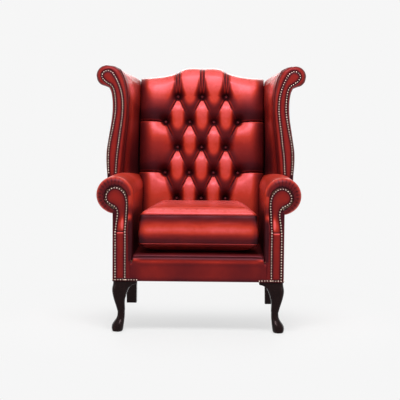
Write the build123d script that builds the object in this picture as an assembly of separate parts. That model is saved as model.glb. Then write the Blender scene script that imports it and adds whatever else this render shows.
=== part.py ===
"""High-backed wing armchair: deep-buttoned leather on a beech frame, with cabriole front legs.

Sizes are in millimetres. +X is the chair's left-to-right, +Y runs to its back and +Z is up.
The chair is drawn with its front face at y = 0, and is moved last so that its middle is at y = 0.
Right-hand pieces are drawn at positive x and mirrored for the left.
"""
import math
import os

from build123d import *

# Overall sizes
body_width = 663.0
base_depth = 644.0
leg_height = 200.0
seat_height = 306.0
arm_height = 604.0
crest_height = 815.0
back_rake = 11.0

# Crest: a hump that is level over the middle and sweeps down to the corners
crest_hump = 48.0
crest_flat = 90.0
crest_sweep = 85.0
crest_roll = 52.0
crest_cover = 44.0
hump_sag_share = 0.12

# Frame timber
board = 32.0
rail_height = 78.0
post_width = 45.0
tacking_rail_height = 50.0
crest_rail_height = 90.0
corner_block_leg = 80.0
corner_block_height = 60.0

# Coverings and fits
cover = 3.0
gap = 0.3

# Arms
arm_thickness = 77.5
arm_roll_radius = 71.0
arm_padding = 30.0
arm_rail_drop = 28.0
arm_rail_height = 45.0
arm_soft_edge = 14.0
post_padding = 10.0
post_head_inset = 26.0
post_neck_drop = 38.0

# Nailed facings
facing = 2.5
facing_margin = 5.0
facing_split = 0.6
seam_height = 391.0
strip_inner_margin = 29.0
strip_outer_margin = 10.0
loop_radius = 39.0
loop_side = 6.5
loop_drop = 13.0
neck_width = 34.0
neck_drop = 72.0
neck_turn_drop = 52.0
bottom_band = 12.0
bottom_band_reach = 94.5
nail_radius = 4.0
nail_rise = 2.8
nail_pitch = 10.5

# Seat
clip_height = 9.0
clip_width = 20.0
clip_depth = 10.0
clip_setback = 5.0
spring_wire = 1.8
spring_count = 5
spring_bends = 18
spring_width = 46.0
spring_spread = 100.0
lip_depth = 18.0
lip_rise = 18.0
lip_round = 16.0

# Loose cushion
cushion_front_width = 450.0
cushion_rear_width = 396.0
cushion_front_set = 18.0
cushion_rear_clear = 6.0
cushion_box = 115.0
under_crown = 36.0
top_crown = 25.0
cushion_bulge = 7.0
top_seam_inset = 6.0
cushion_draw_in = 5.0
cushion_corner = 22.0
cushion_skin = 2.5
welt_radius = 2.0
crown_inset_shares = (0.0, 0.13, 0.32, 0.6)

# Buttoned back
back_inside_width = 550.0
back_thickness = 150.0
webbing = 2.0
webbing_width = 50.0
webbing_count = 6
webbing_pitch = 80.0
button_pitch = 107.0
button_row_share = 0.1394
first_row_share = 0.3252
button_radius = 9.0
button_rise = 6.0
button_split = 5.0
tuft_depth = 42.0
pleat_depth = 20.0
side_pleat_depth = 14.0
side_pleat_run = 40.0
side_round = 34.0
side_round_width = 75.0
top_pleat = 8.0
tuft_crown_share = 0.18
side_station_shares = (0.3, 0.6, 0.85, 0.96, 1.0)

# Wings
wing_front = 258.0
wing_lean = 6.0
wing_rise_share = 1.0417
wing_flare = 104.0
wing_soft_edge = 14.0
wing_board = 18.0
wing_foot_width = 30.0
wing_rail_height = 60.0
wing_rail_low_share = 0.785
wing_rail_inset = 20.5

# Legs
knee = 62.0
ear_reach = 95.0
ear_end = 12.0
ear_curl = 25.0
ear_drop = 65.0
ear_root = 52.0
ear_thickness = 30.0
ear_curve_share = 0.7
ear_setback = 5.0
rear_leg_top = 48.0
rear_leg_foot = 44.0
rear_leg_kick = 75.0
rear_leg_splay = 3.0
toe_radius = 7.5
dowel_radius = 6.0
dowel_length = 60.0
dowel_inset = 19.5
dust_sheet = 1.0
dust_inset = 16.0

# Cabriole leg: height over leg height, then centre in from the corner and half width, both over the knee
cabriole_shares = (
    (1.0, 0.565, 0.556),
    (0.81, 0.46, 0.5),
    (0.685, 0.416, 0.392),
    (0.52, 0.461, 0.289),
    (0.385, 0.516, 0.242),
    (0.31, 0.508, 0.242),
    (0.22, 0.432, 0.295),
    (0.13, 0.35, 0.34),
)
cabriole_corner_share = 0.6
ball_height_share = 0.115
ball_inset_share = 0.323
ball_radius_share = 0.4
# Toes over the ball: height over leg height, reach over the ball's radius, thickness over the toe's
toe_shares = ((0.27, 0.45, 0.9), (0.2, 0.84, 1.0), (0.12, 1.0, 0.95), (0.035, 0.84, 0.7))
toe_turns = (0.0, 75.0, 180.0, 285.0)

# Wing outlines, anticlockwise from the outer foot: corner, point on the arc, corner and so on.
# The front ones give x beyond the body over the flare, and height above the legs over the wing's rise.
wing_outline_shares = (
    (0.495, 0.43),
    (0.553, 0.556),
    (0.428, 0.668),
    (0.298, 0.784),
    (0.361, 0.86),
    (0.505, 0.892),
    (0.774, 0.902),
    (0.987, 0.961),
    (0.577, 1.0),
    (0.101, 0.978),
    (-0.159, 0.93),
    (-0.269, 0.813),
    (-0.207, 0.695),
    (-0.12, 0.577),
    (0.005, 0.43),
)
wing_facing_shares = (
    (0.476, 0.47),
    (0.495, 0.577),
    (0.389, 0.666),
    (0.245, 0.783),
    (0.293, 0.862),
    (0.37, 0.89),
    (0.543, 0.909),
    (0.798, 0.946),
    (0.563, 0.979),
    (0.168, 0.939),
    (-0.062, 0.866),
    (-0.123, 0.789),
    (-0.085, 0.724),
    (0.053, 0.595),
    (0.12, 0.478),
)
# The rear one gives x over the wing's thickness there, and height as above.
wing_rear_shares = (
    (1.0, 0.43),
    (1.02, 0.556),
    (1.0, 0.668),
    (1.02, 0.79),
    (1.0, 0.893),
    (1.01, 0.9),
    (1.0, 0.907),
    (0.87, 0.93),
    (0.5, 0.942),
    (0.13, 0.93),
    (0.0, 0.905),
    (0.02, 0.81),
    (0.0, 0.695),
    (0.02, 0.577),
    (0.0, 0.43),
)
wing_flare_power_share = 2.4
wing_station_shares = (0.07, 0.15, 0.25, 0.38, 0.55, 0.76, 1.0)
wing_soft_share = 0.4
wing_board_share = 0.85
wing_pocket_share = 0.75

# Places worked out from the sizes
half = body_width / 2
frame_x = half - cover
rail_x = frame_x - board
inner_x = half - arm_thickness
post_x = inner_x + post_padding
front_back = cover + board
rail_top = leg_height + rail_height
deck_low = rail_top + clip_height + gap
lip_top = rail_top + lip_rise
roll_x = inner_x + arm_roll_radius
roll_z = arm_height - arm_roll_radius
cavity_top = roll_z - arm_rail_drop
under_roll = roll_z - math.sqrt(arm_roll_radius**2 - (half - roll_x) ** 2)
back_post_x = frame_x - post_width
rake = math.radians(back_rake)
post_front = cover + post_width
pad_rear = post_front + webbing + gap
back_half = back_inside_width / 2
button_seat = back_thickness - tuft_depth
button_row_pitch = button_row_share * crest_height
first_row = first_row_share * crest_height
wing_rise = wing_rise_share * crest_height
wing_rail_low = wing_rail_low_share * crest_height
far = body_width + base_depth + crest_height
cushion_low = seat_height + gap
strip_inner = inner_x + strip_inner_margin
strip_outer = half - strip_outer_margin

parts = {}


def lerp(a, b, t):
    return a + (b - a) * t


def box(x, y, z):
    """A block between pairs of low and high coordinates."""
    size = (x[1] - x[0], y[1] - y[0], z[1] - z[0])
    return Pos(x[0], y[0], z[0]) * Box(*size, align=(Align.MIN, Align.MIN, Align.MIN))


def closed(points):
    """Straight edges round a list of points."""
    return [Line(a, b) for a, b in zip(points, points[1:] + points[:1])]


def front_plane(y):
    """Plane seen from the front, drawn in x and z."""
    return Plane(origin=(0, y, 0), x_dir=(1, 0, 0), z_dir=(0, -1, 0))


def side_plane(x):
    """Plane seen from the right, drawn in y and z."""
    return Plane(origin=(x, 0, 0), x_dir=(0, 1, 0), z_dir=(1, 0, 0))


def outline(plane, edges):
    return make_face([plane * edge for edge in edges])


def front_prism(edges, y0, y1):
    """Solid over an outline in x and z, from y0 back to y1."""
    return extrude(outline(front_plane(y1), edges), amount=y1 - y0, dir=(0, -1, 0))


def side_prism(edges, x0, x1):
    """Solid over an outline in y and z, from x0 to x1."""
    return extrude(outline(side_plane(x0), edges), amount=x1 - x0, dir=(1, 0, 0))


def mirrored(shape):
    return mirror(shape, about=Plane.YZ)


def keep(name, *shapes):
    """Files the solids of one named piece."""
    parts[name] = [solid for shape in shapes for solid in shape.solids()]


def keep_pair(name, *shapes):
    keep(name + "_right", *shapes)
    keep(name + "_left", *[mirrored(shape) for shape in shapes])


# The back is drawn upright, w running forwards from its outside face and v up, then leaned
def lean(shape):
    return Pos(0, base_depth, leg_height) * Rot(-back_rake, 0, 0) * shape


def back_box(x, w, v):
    """A block of the leaning back."""
    return lean(box(x, (-w[1], -w[0]), v))


def back_level(w, z):
    """The v at which a line w in front of the outside face is at height z."""
    return (z - leg_height - w * math.sin(rake)) / math.cos(rake)


def back_y(w, z):
    """World y of a plane w in front of the outside face, at height z."""
    return base_depth + back_level(w, z) * math.sin(rake) - w * math.cos(rake)


def ahead_of(w):
    """Everything in front of a plane that is parallel to the back."""
    return back_box((-far, far), (w, far), (-far, far))


def slab(z0, z1):
    """Everything between two heights."""
    return box((-far, far), (-far, far), (z0, z1))


def crest(x):
    """Height of the back's top over its width."""
    out = abs(x)
    shoulder = crest_height + crest_hump * (1 - hump_sag_share)
    if out <= crest_flat:
        return lerp(crest_height + crest_hump, shoulder, (out / crest_flat) ** 2)
    t = min((out - crest_flat) / crest_sweep, 1)
    return lerp(shoulder, crest_height, t * t * (3 - 2 * t))


quarter = button_pitch / 4
outer_button = button_pitch * 1.5
middle_stations = [quarter * i for i in range(-6, 7)]
side_stations = [lerp(outer_button, back_half, share) for share in side_station_shares]
stations = [-x for x in reversed(side_stations)] + middle_stations + side_stations


# Frame
def front_leg():
    stem = []
    for height, centre, width in cabriole_shares:
        side = 2 * width * knee
        spot = Pos(half - centre * knee, centre * knee, height * leg_height)
        stem.append(spot * RectangleRounded(side, side, cabriole_corner_share * side / 2))
    leg = loft(stem)

    end_x = half - ear_reach
    root_x = half - ear_root
    inside_x = half - knee / 2
    ear_low = leg_height - ear_drop
    ear = [
        Line((inside_x, ear_low), (inside_x, leg_height)),
        Line((inside_x, leg_height), (end_x, leg_height)),
        Line((end_x, leg_height), (end_x, leg_height - ear_end)),
        ThreePointArc(
            (end_x, leg_height - ear_end),
            (lerp(end_x, root_x, ear_curve_share), leg_height - ear_curl),
            (root_x, ear_low),
        ),
        Line((root_x, ear_low), (inside_x, ear_low)),
    ]
    ear_solid = front_prism(ear, ear_setback, ear_setback + ear_thickness)
    diagonal = Plane(origin=(half, 0, 0), x_dir=(0, 0, 1), z_dir=(1, 1, 0))
    leg = leg + ear_solid + mirror(ear_solid, about=diagonal)

    ball_x = half - ball_inset_share * knee
    ball_y = ball_inset_share * knee
    ball_radius = ball_radius_share * knee
    leg = leg + Pos(ball_x, ball_y, ball_height_share * leg_height) * Sphere(ball_radius)
    for turn in toe_turns:
        way = math.radians(turn - 45)
        spots = []
        for height, reach, _ in toe_shares:
            out = reach * ball_radius
            place = (ball_x + out * math.cos(way), ball_y + out * math.sin(way), height * leg_height)
            spots.append(Vector(place))
        rings = []
        for i, (_, _, thickness) in enumerate(toe_shares):
            along = spots[min(i + 1, len(spots) - 1)] - spots[max(i - 1, 0)]
            rings.append(Plane(origin=spots[i], z_dir=along) * Circle(thickness * toe_radius))
        leg = leg + loft(rings)
    return (leg & slab(0, leg_height)) - front_dowel()


def rear_leg():
    top = Pos(half - rear_leg_top / 2, base_depth - rear_leg_top / 2, leg_height)
    foot = Pos(half + rear_leg_splay - rear_leg_foot / 2, base_depth + rear_leg_kick - rear_leg_foot / 2, 0)
    leg = loft([foot * Rectangle(rear_leg_foot, rear_leg_foot), top * Rectangle(rear_leg_top, rear_leg_top)])
    return leg - rear_dowel()


def front_dowel():
    return Pos(half - dowel_inset, dowel_inset, leg_height) * Cylinder(dowel_radius, dowel_length)


def rear_dowel():
    centre = rear_leg_top / 2
    return Pos(half - centre, base_depth - centre, leg_height) * Cylinder(dowel_radius, dowel_length)


def build_legs():
    keep_pair("front_leg", front_leg())
    keep_pair("rear_leg", rear_leg())
    dowels = [front_dowel(), rear_dowel()]
    keep("leg_dowels", *dowels, *[mirrored(dowel) for dowel in dowels])


def corner_block(y, away):
    """Glue block in a corner of the seat frame, its square corner at the side rail and y."""
    edges = closed([(rail_x, y), (rail_x - corner_block_leg, y), (rail_x, y + away * corner_block_leg)])
    block = extrude(outline(Plane.XY, edges), amount=corner_block_height, dir=(0, 0, 1))
    return Pos(0, 0, leg_height) * block


def build_seat_frame():
    keep("front_seat_rail", box((-post_x, post_x), (cover, front_back), (leg_height, rail_top)))
    side = box((rail_x, frame_x), (front_back, far), (leg_height, rail_top)) & ahead_of(post_front)
    keep_pair("side_seat_rail", side)
    rear = back_box((-back_post_x, back_post_x), (cover, post_front), (-far, far))
    keep("rear_seat_rail", rear & slab(leg_height, rail_top))

    front_block = corner_block(front_back, 1)
    rear_corner = corner_block(back_y(post_front, leg_height + corner_block_height), -1)
    rear_block = rear_corner & ahead_of(post_front)
    blocks = [front_block, rear_block]
    keep("corner_blocks", *blocks, *[mirrored(block) for block in blocks])

    sheet = box(
        (-rail_x - dust_inset, rail_x + dust_inset),
        (front_back - dust_inset, base_depth - dust_inset),
        (leg_height - dust_sheet, leg_height),
    )
    clear_x = half - ear_reach - gap
    clear_y = ear_reach + gap
    for side_x in ((-half, -clear_x), (clear_x, half)):
        sheet = sheet - box(side_x, (0, clear_y), (0, leg_height))
        sheet = sheet - box(side_x, (base_depth - rear_leg_top - gap, base_depth), (0, leg_height))
    keep("dust_cover", sheet)


def arm_post(room):
    """Front post of the arm with its round head, with room all round."""
    neck_top = roll_z - post_neck_drop + room
    neck = box((post_x - room, frame_x + room), (-far, front_back + room), (leg_height - room, neck_top))
    circle = CenterArc((roll_x, roll_z), arm_roll_radius - post_head_inset + room, 0, 360)
    return neck + front_prism([circle], -far, front_back + room)


def arm_rail():
    edge = inner_x + arm_padding + gap
    rail_low = cavity_top - gap - arm_rail_height
    return box((edge, frame_x), (front_back, far), (rail_low, cavity_top - gap)) & ahead_of(post_front)


def back_post():
    post = back_box((back_post_x, frame_x), (cover, post_front), (-far, crest_height - crest_cover))
    return post & slab(leg_height, far)


def board_outline(top, bottom):
    """Board cut to the crest's curve, between two distances below it."""
    reach = [-back_post_x] + stations + [back_post_x]
    return closed([(x, crest(x) - top) for x in reach] + [(x, bottom) for x in (back_post_x, -back_post_x)])


def back_plate(edges, w0, w1):
    """Plate of the back over an outline in x and v."""
    return lean(extrude(outline(front_plane(-w0), edges), amount=w1 - w0, dir=(0, -1, 0)))


def build_back_frame():
    post_behind = box((-far, far), (cover, far), (-far, far))
    dowel = front_dowel()
    keep_pair("arm_post", (arm_post(0) & post_behind & slab(leg_height, far)) - dowel)
    keep_pair("arm_rail", arm_rail())
    keep_pair("back_post", back_post() - rear_dowel())
    crest_low = crest_height - crest_cover - crest_rail_height
    keep("crest_rail", back_plate(board_outline(crest_cover, crest_low), cover, post_front))
    low = back_level(cover, seat_height + gap)
    span = (-back_post_x, back_post_x)
    keep("back_tacking_rail", back_box(span, (cover, post_front), (low, low + tacking_rail_height)))
    straps = []
    for i in range(webbing_count):
        x = webbing_pitch * (i - (webbing_count - 1) / 2)
        sides = (x - webbing_width / 2, x + webbing_width / 2)
        rise = (low + tacking_rail_height / 2, crest_low + crest_rail_height / 2)
        straps.append(back_box(sides, (post_front, post_front + webbing), rise))
    keep("back_webbing", *straps)


# Seat springs and deck
def build_springs():
    wire_z = rail_top + clip_height / 2
    front_y = front_back - clip_depth / 2 - clip_setback
    rear_y = back_y(post_front, rail_top) + clip_setback + clip_depth / 2
    springs = []
    clips = []
    for i in range(spring_count):
        x = spring_spread * (i - (spring_count - 1) / 2)
        turn = (rear_y - front_y) / (spring_bends + 1) / 2
        reach = spring_width / 2 - turn
        here = (x - turn, front_y)
        edges = []
        way = 1
        for bend in range(spring_bends + 1):
            corner = (x + way * reach, here[1])
            edges.append(Line(here, corner))
            after = (corner[0], here[1] + 2 * turn)
            edges.append(ThreePointArc(corner, (corner[0] + way * turn, here[1] + turn), after))
            here = after
            way = -way
        edges.append(Line(here, (x + turn * way, here[1])))
        path = Pos(0, 0, wire_z) * Wire(edges)
        mouth = Plane(origin=path @ 0, z_dir=path % 0)
        wire = sweep(mouth * Circle(spring_wire), path=path)
        springs.append(wire)
        for middle, y in ((x - (turn - reach) / 2, front_y), (x + way * (turn - reach) / 2, rear_y)):
            sides = (middle - clip_width / 2, middle + clip_width / 2)
            clip = box(sides, (y - clip_depth / 2, y + clip_depth / 2), (rail_top, rail_top + clip_height))
            slot = box((x - far, x + far), (y - spring_wire, y + spring_wire), (wire_z - spring_wire, far))
            clips.append(clip - slot)
    keep("seat_springs", *springs)
    keep("spring_clips", *clips)


def build_deck():
    reach = inner_x - gap
    deck = box((-reach, reach), (lip_depth + gap, far), (deck_low, seat_height)) & ahead_of(cover + gap)
    keep("seat_deck", deck)
    lip = [
        Line((0, leg_height), (cover, leg_height)),
        Line((cover, leg_height), (cover, rail_top)),
        Line((cover, rail_top), (lip_depth, rail_top)),
        Line((lip_depth, rail_top), (lip_depth, lip_top)),
        Line((lip_depth, lip_top), (lip_round, lip_top)),
        ThreePointArc(
            (lip_round, lip_top),
            (lip_round * (1 - math.sqrt(0.5)), lip_top - lip_round * (1 - math.sqrt(0.5))),
            (0, lip_top - lip_round),
        ),
        Line((0, lip_top - lip_round), (0, leg_height)),
    ]
    border = side_prism(lip, gap - post_x, post_x - gap)
    for side in ((-far, gap - inner_x), (inner_x - gap, far)):
        border = border - box(side, (-far, far), (rail_top, far))
    keep("front_border", border)


# Arms
def arm_pad_outline():
    """Front view of the arm's padding: inside wall, roll, and the hollow over the frame."""
    top = roll_z + arm_roll_radius * math.sqrt(0.5)
    left = roll_x - arm_roll_radius * math.sqrt(0.5)
    wall = inner_x + arm_padding
    low = rail_top + gap
    slit = frame_x + gap
    return [
        Line((inner_x, low), (inner_x, roll_z)),
        ThreePointArc((inner_x, roll_z), (left, top), (roll_x, arm_height)),
        ThreePointArc((roll_x, arm_height), (roll_x + arm_roll_radius, roll_z), (half, under_roll)),
        Line((half, under_roll), (slit, under_roll)),
        Line((slit, under_roll), (slit, cavity_top)),
        Line((slit, cavity_top), (wall, cavity_top)),
        Line((wall, cavity_top), (wall, low)),
        Line((wall, low), (inner_x, low)),
    ]


def arm_space():
    """The arm's full section and a gap round it, from the front to behind the chair."""
    wide = box((inner_x - gap, half), (-far, far), (leg_height, roll_z))
    roll = front_prism([CenterArc((roll_x, roll_z), arm_roll_radius + gap, 0, 360)], -far, far)
    return wide + roll


def build_arms():
    pad = front_prism(arm_pad_outline(), 0, far)
    front_edges = pad.edges().group_by(Axis.Y)[0]
    soft = [edge for edge in front_edges if edge.center().X < inner_x + gap or edge.center().Z > roll_z]
    pad = fillet(soft, arm_soft_edge)
    pad = pad & ahead_of(cover + gap)
    post_space = back_box((-far, frame_x + gap), (-far, post_front + gap), (-far, far))
    pad = pad - arm_post(gap) - post_space - wing_frame(gap, wing_pocket_share)
    keep_pair("arm_pad", pad)
    front_cover = arm_post(0) & box((-far, far), (0, cover), (leg_height, far))
    keep_pair("post_cover", front_cover)
    panel = box((frame_x, half), (0, far), (leg_height, under_roll)) & ahead_of(cover)
    keep_pair("outside_arm_panel", panel)


def keyhole(margin):
    """Loop and neck of the arm's facing, open at the seam, drawn a margin outside the nails."""
    loop_x = roll_x - loop_side
    loop_z = roll_z - loop_drop
    radius = loop_radius + margin
    neck = loop_x - radius + neck_width + 2 * margin
    turn = math.radians(-75)
    leave = (loop_x + radius * math.cos(turn), loop_z + radius * math.sin(turn))
    join = (neck, loop_z - neck_drop)
    return [
        Line((strip_inner - margin, seam_height), (loop_x - radius, loop_z)),
        ThreePointArc((loop_x - radius, loop_z), (loop_x, loop_z + radius), (loop_x + radius, loop_z)),
        ThreePointArc(
            (loop_x + radius, loop_z),
            (loop_x + radius * math.sqrt(0.5), loop_z - radius * math.sqrt(0.5)),
            leave,
        ),
        ThreePointArc(leave, (neck - margin / 4, loop_z - neck_turn_drop), join),
        Line(join, (strip_outer + margin, seam_height)),
    ]


def dome(radius, rise):
    """Round head standing on the plane it is drawn on."""
    ball = (radius**2 + rise**2) / (2 * rise)
    return (Pos(0, 0, rise - ball) * Sphere(ball)) & Pos(0, 0, ball) * Box(4 * ball, 4 * ball, 2 * ball)


def nail_row(edges, plane):
    """Nail heads evenly along a path drawn on a plane."""
    path = Wire([plane * edge for edge in edges])
    count = round(path.length / nail_pitch)
    head = dome(nail_radius, nail_rise)
    spots = [path @ ((i + 0.5) / count) for i in range(count)]
    return [Plane(origin=spot, x_dir=plane.x_dir, z_dir=plane.z_dir).location * head for spot in spots]


def build_arm_facings():
    upper = keyhole(facing_margin)
    ends = (upper[0] @ 0, upper[-1] @ 1)
    upper.append(Line((ends[1].X, ends[1].Y), (ends[0].X, ends[0].Y)))
    keep_pair("arm_facing", front_prism(upper, -facing, 0))
    sides = (strip_inner - facing_margin, strip_outer + facing_margin)
    strip = box(sides, (-facing, 0), (leg_height, seam_height - facing_split))
    band = box((half - bottom_band_reach, half), (-facing, 0), (leg_height, leg_height + bottom_band))
    keep_pair("post_facing", strip + band)

    front = front_plane(-facing)
    band_z = leg_height + bottom_band / 2
    nails = nail_row(keyhole(0), front)
    for x in (strip_inner, strip_outer):
        nails += nail_row([Line((x, seam_height), (x, leg_height + bottom_band))], front)
    nails += nail_row([Line((half, band_z), (half - bottom_band_reach, band_z))], front)
    keep_pair("arm_nails", *nails)


# Wings
def wing_plane(t, forward):
    """Plane of a wing section, from the front at 0 to the outside of the back at 1."""
    angle = math.radians(lerp(wing_lean, back_rake, t))
    out = Vector(0, -math.cos(angle), math.sin(angle))
    foot = Vector(0, lerp(wing_front, base_depth, t), leg_height)
    return Plane(origin=foot + out * forward, x_dir=(1, 0, 0), z_dir=out)


def wing_points(t, soft):
    """Points of a wing section, with soft taking it in towards the facing."""
    ease = 1 - (1 - t) ** wing_flare_power_share
    stretch = wing_rise / math.cos(math.radians(lerp(wing_lean, back_rake, t)))
    points = []
    for edge, inset, rear in zip(wing_outline_shares, wing_facing_shares, wing_rear_shares):
        across, height = (lerp(a, b, soft) for a, b in zip(edge, inset))
        front_x = half + across * wing_flare
        rear_x = lerp(back_half + gap, half, rear[0])
        points.append((lerp(front_x, rear_x, ease), lerp(height, rear[1], ease) * stretch))
    return points


def arcs(points):
    """Arcs through a list of corners and the points between them."""
    return [ThreePointArc(*points[i:i + 3]) for i in range(0, len(points) - 2, 2)]


def padding_points(t, soft):
    """Points of a wing section inside the outside panel."""
    panelled = 5
    return [(x - cover - gap if i < panelled else x, z) for i, (x, z) in enumerate(wing_points(t, soft))]


def wing_face(t, soft, forward):
    points = padding_points(t, soft)
    return outline(wing_plane(t, forward), arcs(points) + [Line(points[-1], points[0])])


def wing_strip(t, forward):
    """Section of the outside panel: two arcs and the same arcs moved in by the cover."""
    outer = wing_points(t, 0)[:5]
    inner = [(x - cover, z) for x, z in outer]
    edges = arcs(outer) + [Line(outer[-1], inner[-1])] + arcs(inner[::-1]) + [Line(inner[0], outer[0])]
    return outline(wing_plane(t, forward), edges)


def wing_frame(room, soft):
    """Board of the wing and its foot down to the arm rail, with room all round."""
    plane = wing_plane(0, -cover - wing_board - room)
    points = padding_points(0, wing_board_share)
    depth = wing_board + 2 * room
    shape = extrude(wing_face(0, soft, -cover - wing_board - room), amount=depth, dir=plane.z_dir)
    foot_low = cavity_top - arm_rail_height / 2 - leg_height
    inner, outer = points[-1], points[0]
    foot = closed([
        (inner[0] - room, inner[1]),
        (outer[0] + room, outer[1]),
        (frame_x + room, foot_low),
        (frame_x - wing_foot_width - room, foot_low),
    ])
    shape = shape + extrude(outline(plane, foot), amount=depth, dir=plane.z_dir)
    return shape & slab(cavity_top - gap - room, far)


def wing_rail(room):
    """Rail from the wing's board back to the post."""
    sides = (frame_x - wing_rail_inset - room, frame_x - wing_rail_inset + wing_board + room)
    levels = (wing_rail_low - room, wing_rail_low + wing_rail_height + room)
    rail = back_box(sides, (post_front, far), levels)
    ahead = wing_plane(0, -cover - wing_board).location * box((-far, far), (-far, far), (0, far))
    return rail - ahead


def build_wings():
    faces = [wing_face(0, wing_soft_share, 0), wing_face(0, 0, -wing_soft_edge)]
    faces += [wing_face(t, 0, 0) for t in wing_station_shares]
    pad = loft(faces, ruled=True)
    behind = back_box((-far, far), (-far, post_front + gap), (-far, crest_height - crest_cover + gap))
    pad = pad - arm_space() - behind - wing_frame(gap, wing_pocket_share) - wing_rail(gap)
    keep_pair("wing_pad", pad)

    strips = [wing_strip(0, -wing_soft_edge)] + [wing_strip(t, 0) for t in wing_station_shares]
    panel = (loft(strips, ruled=True) & ahead_of(cover)) - arm_space()
    keep_pair("outside_wing_panel", panel)
    keep_pair("wing_board", wing_frame(0, wing_board_share))
    keep_pair("wing_rail", wing_rail(0))

    face = wing_plane(0, 0)
    points = wing_points(0, 1)
    edges = arcs(points) + [Line(points[-1], points[0])]
    keep_pair("wing_facing", extrude(outline(face, edges), amount=facing, dir=face.z_dir) - arm_space())
    rim = offset(outline(Plane.XY, edges), amount=-facing_margin)
    heads = nail_row(list(rim.edges()), wing_plane(0, facing))
    clear = arm_roll_radius + gap + nail_radius
    above = [head for head in heads if math.dist((head.center().X, head.center().Z), (roll_x, roll_z)) > clear]
    keep_pair("wing_nails", *above)


# Buttoned back
def button_places():
    places = []
    for row in range(5):
        columns = (-1, 0, 1) if row % 2 == 0 else (-1.5, -0.5, 0.5, 1.5)
        places += [(column * button_pitch, first_row + row * button_row_pitch) for column in columns]
    return places


def back_section(x):
    """Section of the buttoned pad at one x: five swells between the pleats, then the roll over the crest."""
    out = abs(x)
    wave = 2 * abs((min(out, outer_button) / button_pitch + 0.5) % 1 - 0.5)
    side = max(0.0, (out - back_half + side_round_width) / side_round_width)
    drop = side_round * (1 - math.sqrt(1 - side**2))
    front = back_thickness - drop
    between = lerp(button_seat, back_thickness - pleat_depth, math.sin(math.pi * wave))
    beside = min(1, max(0, out - outer_button) / side_pleat_run)
    valley = lerp(between, back_thickness - side_pleat_depth, beside) - drop
    vertical = top_pleat * max(0, 1 - 2 * wave)

    low_z = seat_height + gap
    top = crest(x)
    toe = front - side_pleat_depth
    marks = [(toe, back_level(toe, low_z))]
    for row in range(4):
        share = wave if row % 2 == 0 else 1 - wave
        low = first_row + row * button_row_pitch + button_split
        high = first_row + (row + 1) * button_row_pitch - button_split
        marks.append((valley, lerp(low, high, share)))
    marks.append((front - vertical, top - crest_roll))
    edges = []
    for a, b in zip(marks, marks[1:]):
        chord = math.dist(a, b)
        lift = min(tuft_crown_share * chord, front - (a[0] + b[0]) / 2)
        out_w = (a[0] + b[0]) / 2 + lift * (b[1] - a[1]) / chord
        out_v = (a[1] + b[1]) / 2 - lift * (b[0] - a[0]) / chord
        edges.append(ThreePointArc(a, (out_w, out_v), b))
    ridge = (front / 2, top - vertical)
    back_edge = (0, top - crest_cover + gap)
    heel = (0, top - crest_roll / 2)
    slope = math.sqrt(0.5)
    shoulder = (lerp(ridge[0], marks[-1][0], slope), lerp(marks[-1][1], ridge[1], slope))
    edges.append(ThreePointArc(marks[-1], shoulder, ridge))
    edges.append(ThreePointArc(ridge, (lerp(ridge[0], 0, slope), lerp(heel[1], ridge[1], slope)), heel))
    notch = (pad_rear, back_edge[1])
    foot = (pad_rear, back_level(pad_rear, low_z))
    edges += [Line(heel, back_edge), Line(back_edge, notch), Line(notch, foot), Line(foot, marks[0])]
    plane = Plane(origin=(x, 0, 0), x_dir=(0, -1, 0), z_dir=(-1, 0, 0))
    return outline(plane, edges)


def build_back():
    pad = lean(loft([back_section(x) for x in stations], ruled=True))
    arm = arm_space()
    pad = pad - arm - mirrored(arm)
    buttons = []
    for x, v in button_places():
        seat = Plane(origin=(x, -button_seat, v), x_dir=(1, 0, 0), z_dir=(0, -1, 0)).location
        hole = Cylinder(button_radius + gap, far, align=(Align.CENTER, Align.CENTER, Align.MIN))
        pad = pad - lean(seat * hole)
        buttons.append(lean(seat * dome(button_radius, button_rise)))
    keep("back_pad", pad)
    keep("back_buttons", *buttons)

    reach = [-half] + stations + [half]
    low = -far
    panel = closed([(x, crest(x) - crest_cover) for x in reach] + [(half, low), (-half, low)])
    keep("outside_back_panel", back_plate(panel, 0, cover) & slab(leg_height, far))


# Loose cushion
def cushion_face(z, inset):
    """Plan of the cushion, its sides drawn in between the corners, taken in by an inset."""
    front = cushion_front_set + inset
    rear = back_y(back_thickness, cushion_low) - cushion_rear_clear - inset
    wide = cushion_front_width / 2 - inset
    narrow = cushion_rear_width / 2 - inset
    middle = (front + rear) / 2
    waist = (wide + narrow) / 2 - cushion_draw_in
    face = make_face([
        ThreePointArc((-wide, front), (0, front + cushion_draw_in), (wide, front)),
        ThreePointArc((wide, front), (waist, middle), (narrow, rear)),
        ThreePointArc((narrow, rear), (0, rear - cushion_draw_in), (-narrow, rear)),
        ThreePointArc((-narrow, rear), (-waist, middle), (-wide, front)),
    ])
    return Pos(0, 0, z) * fillet(face.vertices(), cushion_corner)


def cushion_solid(skin):
    """Boxing and the two crowns, taken in by the skin on every side."""
    low_seam = cushion_low + under_crown
    high_seam = low_seam + cushion_box
    boxing = loft([
        cushion_face(low_seam + skin, skin),
        cushion_face((low_seam + high_seam) / 2, skin - cushion_bulge),
        cushion_face(high_seam - skin, skin + top_seam_inset),
    ])
    deepest = crown_inset_shares[-1]
    solid = boxing
    for seam, crown, inset, way in (
        (low_seam + skin, under_crown, skin, -1),
        (high_seam - skin, top_crown, skin + top_seam_inset, 1),
    ):
        faces = []
        for share in crown_inset_shares:
            rise = crown * (1 - (1 - share / deepest) ** 2)
            faces.append(cushion_face(seam + way * rise, inset + share * cushion_rear_width / 2))
        solid = solid + loft(faces)
    return solid


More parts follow.
